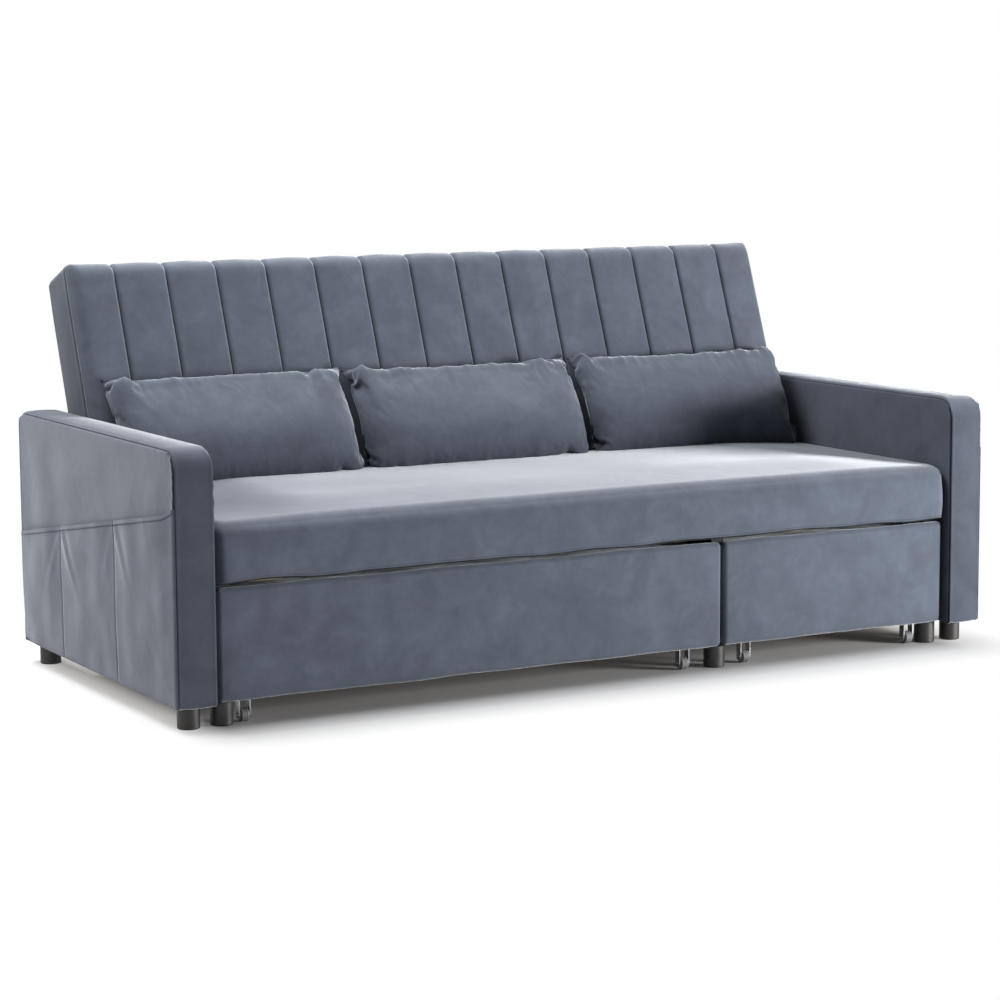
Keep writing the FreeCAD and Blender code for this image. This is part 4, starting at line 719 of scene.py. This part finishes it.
def pillow_skin(seed):
    """A knife-edge pillow of two panels, before it is filled, and its boundary mask."""
    across = 97
    tall = 45
    columns = np.linspace(-1, 1, across)
    rows = np.linspace(-1, 1, tall)
    u, v = (values.ravel() for values in np.meshgrid(columns, rows, indexing="ij"))
    swell = (1 - u**2) ** 0.5 * (1 - v**2) ** 0.5
    edge = (np.abs(u) > 0.9999) | (np.abs(v) > 0.9999)
    count = len(u)
    front = np.arange(count)
    back = np.where(edge, front, 0)
    back[~edge] = count + np.arange((~edge).sum())
    grid = front.reshape(across, tall)
    other = back.reshape(across, tall)
    second = np.stack([other[:-1, :-1], other[:-1, 1:], other[1:, 1:], other[1:, :-1]], -1).reshape(-1, 4)
    faces = np.concatenate([quads_of(grid), second])
    uv = np.concatenate([np.column_stack([u, v]), np.column_stack([u, v])[~edge]])
    rise = np.concatenate([swell, -swell[~edge]])
    dice = np.random.default_rng(seed)
    return uv, rise, faces, np.concatenate([edge, np.zeros((~edge).sum(), bool)]), dice


def pillow(side, seed, filled):
    """A loose oblong pillow, its cover pinched at the corners and gathered along the seams."""
    name = f"{side}_pillow"
    low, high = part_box(name)
    centre = (low + high) / 2
    uv, rise, faces, edge, dice = pillow_skin(seed)
    half_w = PILLOW_WIDTH / 2
    half_h = PILLOW_HEIGHT / 2
    half_t = PILLOW_THICKNESS / 2
    if filled:
        start = np.column_stack([uv[:, 0] * half_w * 1.06, rise * 0.020, uv[:, 1] * half_h * 1.14])
        start[:, 1] += dice.normal(size=len(start)) * 0.0005 * ~edge
        points = inflate(name, start, faces)
    else:
        pull = 1 - 0.045 * (1 - uv[:, 0] ** 2) * np.abs(uv[:, 1]) ** 2
        pull_in = 1 - 0.045 * (1 - uv[:, 1] ** 2) * np.abs(uv[:, 0]) ** 2
        body = np.sign(rise) * np.abs(rise) ** 0.85
        points = np.column_stack([uv[:, 0] * half_w * pull_in, body * half_t, uv[:, 1] * half_h * pull])
        creases = 0.004 * np.sin(uv[:, 0] * 34) * bell(1 - np.abs(uv[:, 1]), 0.25)
        points[:, 1] += creases * np.sign(rise) * ~edge
    for way in (-1, 1):
        rim = edge & (uv[:, 1] * way > 0.999)
        order = np.argsort(uv[rim, 0])
        place = uv[rim, 0][order]
        drawn = np.interp(uv[:, 0], place, points[rim, 2][order])
        wanted = way * np.abs(points[rim, 2]).max() * (1 - PILLOW_DRAW_IN / half_h * (1 - uv[:, 0] ** 2))
        points[:, 2] += (wanted - drawn) * smooth(way * uv[:, 1], -0.9, 1.0)
    middle = (points.max(0) + points.min(0)) / 2
    sizes = (points.max(0) - points.min(0)) / 2
    points = (points - middle) * (np.array([half_w * 1.024, half_t * 1.02, half_h * 1.06]) / sizes)
    belly = np.abs(points[:, 1]) / half_t
    level = points[:, 2] / half_h
    points[:, 1] += (half_t - np.abs(points[:, 1])) * (PILLOW_REST + PILLOW_LEAN * smooth(level, -0.1, 1.0))
    front = points[:, 1] < 0
    points[:, 2] -= PILLOW_SAG * belly * front * (0.85 - 0.15 * level)
    tucked = np.where(front, smooth(belly, 0.6, 0.0), 1.0 + belly)
    points[:, 2] += PILLOW_TUCK * smooth(level, -0.30, -1.0) * tucked
    points[front, 1] *= 1 - PILLOW_TAPER * smooth(level[front], -0.15, 0.95)
    sine = math.sin(BACK_LEAN)
    cosine = math.cos(BACK_LEAN)
    y = centre.y + points[:, 2] * sine + points[:, 1] * cosine
    z = centre.z + points[:, 2] * cosine - points[:, 1] * sine
    bottom = z[front & (np.abs(points[:, 0]) < 0.8 * half_w)].min()
    tall = high.z - low.z + PILLOW_SINK + PILLOW_EAR
    z = low.z - PILLOW_SINK + (z - bottom) / (z.max() - bottom) * tall
    placed = np.column_stack([centre.x + points[:, 0], y, z])
    # Painted shade: dark along the seams and over the lower half of the cover.
    shadow = 0.60 * edge + 0.38 * smooth(uv[:, 1], 0.5, -0.9) * ~edge
    made = piece(f"{side}_cushion", placed, faces, "velvet", name, [name], shadow)
    finer = made.modifiers.new("finer", "SUBSURF")
    finer.levels = 1
    finer.render_levels = 1
    apply_modifiers(made)


def inflate(name, points, faces):
    """The points of a closed cover once cloth pressure has filled it to the pillow's thickness."""
    scene = bpy.context.scene
    mesh = bpy.data.meshes.new(f"{name}_start")
    mesh.from_pydata(points.tolist(), [], faces.tolist())
    made = bpy.data.objects.new(f"{name}_start", mesh)
    scene.collection.objects.link(made)
    cloth = made.modifiers.new("fill", "CLOTH")
    values = cloth.settings
    values.quality = 6
    values.mass = 0.25
    values.tension_stiffness = PILLOW_STRETCH
    values.compression_stiffness = PILLOW_STRETCH
    values.shear_stiffness = PILLOW_SHEAR
    values.bending_stiffness = PILLOW_BEND
    values.tension_damping = 12
    values.compression_damping = 12
    values.shear_damping = 8
    values.air_damping = 4
    values.use_pressure = True
    values.uniform_pressure_force = PILLOW_PRESSURE
    values.effector_weights.gravity = 0
    cloth.collision_settings.use_collision = False
    cloth.point_cache.frame_start = 1
    cloth.point_cache.frame_end = PILLOW_FRAMES + 10
    for step in range(1, PILLOW_FRAMES + 1):
        scene.frame_set(step)
        shown = made.evaluated_get(bpy.context.evaluated_depsgraph_get())
        filled = np.array([v.co for v in shown.data.vertices])
        if np.ptp(filled[:, 1]) > PILLOW_THICKNESS * PILLOW_OVERFILL:
            break
    bpy.data.objects.remove(made)
    bpy.data.meshes.remove(mesh)
    scene.frame_set(1)
    return filled


# Pull-out beds


def bed_cushion(bed, seed):
    """A thin mattress: two crowned panels and a boxing strip sewn between piped seams."""
    node = f"{bed}_cushion"
    low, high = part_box(node)
    xs = spaced(low.x, high.x, 0.014)
    ys = spaced(low.y, high.y, 0.014)
    zs = spaced(low.z, high.z, 0.007)
    points, faces = box_skin(xs, ys, zs)
    rest = points.copy()
    edges = [MATTRESS_ROUND] * 4
    roll(points, 0, 1, (low.x, high.x), (low.y, high.y), [MATTRESS_ROUND * 1.6] * 4)
    roll(points, 0, 2, (low.x, high.x), (low.z, high.z), edges)
    roll(points, 1, 2, (low.y, high.y), (low.z, high.z), edges)
    normals = outward(points, faces)
    side_gap = np.minimum(to_end(rest[:, 0], low.x, high.x), to_end(rest[:, 1], low.y, high.y))
    tall = to_end(rest[:, 2], low.z, high.z)
    seam_gap = np.abs(side_gap + tall - 0.001)
    drawn, shadow = stitched(seam_gap, 0.0020, 0.0028)
    crown = 0.0040 * smooth(side_gap, 0.0, 0.16) * (tall < 1e-6) - 0.0040
    slack = 0.0010 * ripple(rest, 0.17, seed)
    points += normals * (drawn + crown + slack)[:, None]
    made = piece(f"{bed}_mattress", points, faces, "mattress_velvet", bed, [node], shadow)


# Wheels


def wheel(bed, end, side):
    """A grey tread on a pale hub with a pressed rib and a bore for the axle."""
    name = f"{bed}_wheel_{end}_{side}"
    low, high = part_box(name)
    centre = (low + high) / 2
    half = WHEEL_WIDTH / 2
    hub = [(half - HUB_INSET, HUB_BORE), (half - HUB_INSET, HUB_COLLAR)]
    rib = [(half - 2 * HUB_INSET, HUB_COLLAR + RIB_EDGE), (half - 2 * HUB_INSET, HUB_RADIUS - RIB_EDGE)]
    rim = [(half - RIB_EDGE, HUB_RADIUS), (half, HUB_RADIUS + 0.0010), (half, HUB_RADIUS + 0.0018)]
    shoulder = [(half - 0.0004, WHEEL_RADIUS - 0.0022), (half - 0.0016, WHEEL_RADIUS - RIB_EDGE)]
    tread = [(half - 0.0032, WHEEL_RADIUS), (TREAD_GROOVE + 0.0016, WHEEL_RADIUS)]
    groove = [(TREAD_GROOVE + 0.0008, WHEEL_RADIUS - 0.0008), (TREAD_GROOVE, WHEEL_RADIUS)]
    profile = [(-x, r) for x, r in (*hub, *rib, *rim, *shoulder, *tread, *groove)]
    profile += [(-x, r) for x, r in reversed(profile)]
    steps = 48
    angles = np.arange(steps) * 2 * math.pi / steps
    circle = np.column_stack([np.zeros(steps), np.cos(angles), np.sin(angles)])
    rings = [circle * r + np.array((x, 0.0, 0.0)) for x, r in profile]
    points = np.concatenate(rings) + np.array(centre)
    faces = []
    marks = []
    for ring in range(len(profile)):
        following = (ring + 1) % len(profile)
        inner = max(profile[ring][1], profile[following][1]) < HUB_RADIUS + 0.0016
        for step in range(steps):
            turn = (step + 1) % steps
            near = ring * steps
            far = following * steps
            faces.append((near + step, near + turn, far + turn, far + step))
            marks.append(1 if inner else 0)
    looks = (LOOKS["wheel_rubber"], HUB)
    made = piece(f"{name}_tyre", points, np.array(faces), "wheel_rubber", name, [name], None, looks, marks)
    edges = made.modifiers.new("edges", "BEVEL")
    edges.width = 0.0003
    edges.segments = 2
    apply_modifiers(made)


for side in ("left", "right"):
    arm_cover(side)
    arm_pockets(side)
seat_cushion()
dust_cloth()
backrest_pad()
rear_boards()
for order, side in enumerate(("left", "middle", "right")):
    pillow(side, 80 + order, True)
for bed, seed in (("wide_bed", 91), ("narrow_bed", 95)):
    front_panel(bed)
    bed_cushion(bed, seed)
    for end in ("front", "rear"):
        for side in ("left", "right"):
            wheel(bed, end, side)


# Studio


def studio_floor():
    """A white floor that keeps the sofa's shadow, with a painted shadow darkening its colour under the sofa, and
    meets a white background far away.
    """
    size = 40.0
    corners = [(-size, -size, 0.0), (size, -size, 0.0), (size, size, 0.0), (-size, size, 0.0)]
    mesh = bpy.data.meshes.new("studio_floor")
    mesh.from_pydata(corners, [], [(0, 1, 2, 3)])
    made = bpy.data.objects.new("studio_floor", mesh)
    bpy.context.scene.collection.objects.link(made)
    look = Look("studio_white", Roughness=0.9, Specular_IOR_Level=0.1)
    look.shader.inputs["Base Color"].default_value = (0.58, 0.58, 0.60, 1.0)
    ray = look.add("ShaderNodeLightPath").outputs
    pair = {0: ray["Is Camera Ray"], 1: ray["Is Glossy Ray"]}
    seen = look.add("ShaderNodeMath", pair, operation="MAXIMUM")
    pair = {0: seen.outputs[0], 1: ray["Is Transmission Ray"]}
    seen = look.add("ShaderNodeMath", pair, operation="MAXIMUM")
    outside = look.place
    within = ("MAXIMUM", (0.0, 0.0, 0.0))
    for way, other in (("ABSOLUTE", None), ("SUBTRACT", FOOTPRINT), within, ("MULTIPLY", SHADOW_SHAPE)):
        values = {0: outside, 1: other} if other else {0: outside}
        outside = look.add("ShaderNodeVectorMath", values, operation=way).outputs["Vector"]
    reach = look.add("ShaderNodeVectorMath", {0: outside}, operation="LENGTH").outputs["Value"]
    far = look.span(reach, 0.0, 1.0, *SHADOW_FADE)
    white = look.add("ShaderNodeEmission", {"Color": (1, 1, 1, 1), "Strength": 1.0}).outputs[0]
    lift = look.add("ShaderNodeEmission", {"Color": (1, 1, 1, 1), "Strength": 0.02}).outputs[0]
    # Painted shadow: the floor's own colour is darker under the sofa's footprint and pales to white within a short
    # reach.
    pale = look.span(reach, 0.50, 0.95, 0.0, PAINTED_SHADOW_REACH)
    painted_shadow_albedo = look.ramp(pale, (0.0, (0.0, 0.0, 0.0)), (1.0, (1.0, 1.0, 1.0)))
    paper = look.add("ShaderNodeBsdfDiffuse", {"Color": painted_shadow_albedo})
    near = look.add("ShaderNodeAddShader")
    look.tree.links.new(paper.outputs[0], near.inputs[0])
    look.tree.links.new(lift, near.inputs[1])
    blend = look.add("ShaderNodeMixShader", {"Fac": far})
    look.tree.links.new(near.outputs[0], blend.inputs[1])
    look.tree.links.new(white, blend.inputs[2])
    choose = look.add("ShaderNodeMixShader", {"Fac": seen.outputs[0]})
    look.tree.links.new(look.shader.outputs[0], choose.inputs[1])
    look.tree.links.new(blend.outputs[0], choose.inputs[2])
    look.tree.links.new(choose.outputs[0], look.tree.nodes["Material Output"].inputs["Surface"])
    mesh.materials.append(look.material)


def studio_world(level):
    world = bpy.data.worlds.new("studio")
    world.use_nodes = True
    tree = world.node_tree
    light = tree.nodes["Background"]
    light.inputs["Color"].default_value = (0.93, 0.96, 1.0, 1.0)
    light.inputs["Strength"].default_value = level
    white = tree.nodes.new("ShaderNodeBackground")
    white.inputs["Color"].default_value = (1.0, 1.0, 1.0, 1.0)
    ray = tree.nodes.new("ShaderNodeLightPath")
    seen = ray.outputs["Is Camera Ray"]
    for kind in ("Is Glossy Ray", "Is Transmission Ray"):
        either = tree.nodes.new("ShaderNodeMath")
        either.operation = "MAXIMUM"
        tree.links.new(seen, either.inputs[0])
        tree.links.new(ray.outputs[kind], either.inputs[1])
        seen = either.outputs[0]
    choose = tree.nodes.new("ShaderNodeMixShader")
    tree.links.new(seen, choose.inputs["Fac"])
    tree.links.new(light.outputs[0], choose.inputs[1])
    tree.links.new(white.outputs[0], choose.inputs[2])
    tree.links.new(choose.outputs[0], tree.nodes["World Output"].inputs["Surface"])
    bpy.context.scene.world = world


def soft_light(name, place, target, width, height, power, colour=(1.0, 1.0, 1.0)):
    """A soft box at a place, turned to a target."""
    lamp = bpy.data.lights.new(name, "AREA")
    lamp.shape = "RECTANGLE"
    lamp.size = width
    lamp.size_y = height
    lamp.energy = power
    lamp.color = colour
    made = bpy.data.objects.new(name, lamp)
    made.location = place
    way = Vector(target) - Vector(place)
    made.rotation_mode = "QUATERNION"
    made.rotation_quaternion = way.to_track_quat("-Z", "Y")
    bpy.context.scene.collection.objects.link(made)


studio_floor()
studio_world(WORLD_LEVEL)
soft_light("overhead", (-1.05, 0.85, 3.2), (-0.45, 0.0, 0.4), 3.4, 1.8, OVERHEAD_WATTS)
soft_light("left_fill", (-4.2, -0.2, 1.2), (-0.9, -0.1, 0.4), 2.0, 1.6, FILL_WATTS)
soft_light("right_key", (3.1, -2.9, 0.62), (1.0, -0.2, 0.60), 1.2, 1.1, KEY_WATTS)


# Camera
forward = Vector((math.sin(CAMERA_YAW), math.cos(CAMERA_YAW), 0.0)) * math.cos(CAMERA_PITCH)
forward.z = -math.sin(CAMERA_PITCH)
level_right = Vector((math.cos(CAMERA_YAW), -math.sin(CAMERA_YAW), 0.0))
level_up = level_right.cross(forward)
right = level_right * math.cos(CAMERA_ROLL) + level_up * math.sin(CAMERA_ROLL)
up = level_up * math.cos(CAMERA_ROLL) - level_right * math.sin(CAMERA_ROLL)
turn = Matrix((right, up, -forward)).transposed()
lens = bpy.data.cameras.new("camera")
lens.lens = CAMERA_LENS
lens.sensor_width = CAMERA_SENSOR
lens.clip_end = 200.0
camera = bpy.data.objects.new("camera", lens)
camera.matrix_world = Matrix.Translation(CAMERA_PLACE) @ turn.to_4x4()
bpy.context.scene.collection.objects.link(camera)
bpy.context.scene.camera = camera
bpy.context.scene.view_settings.view_transform = "Standard"
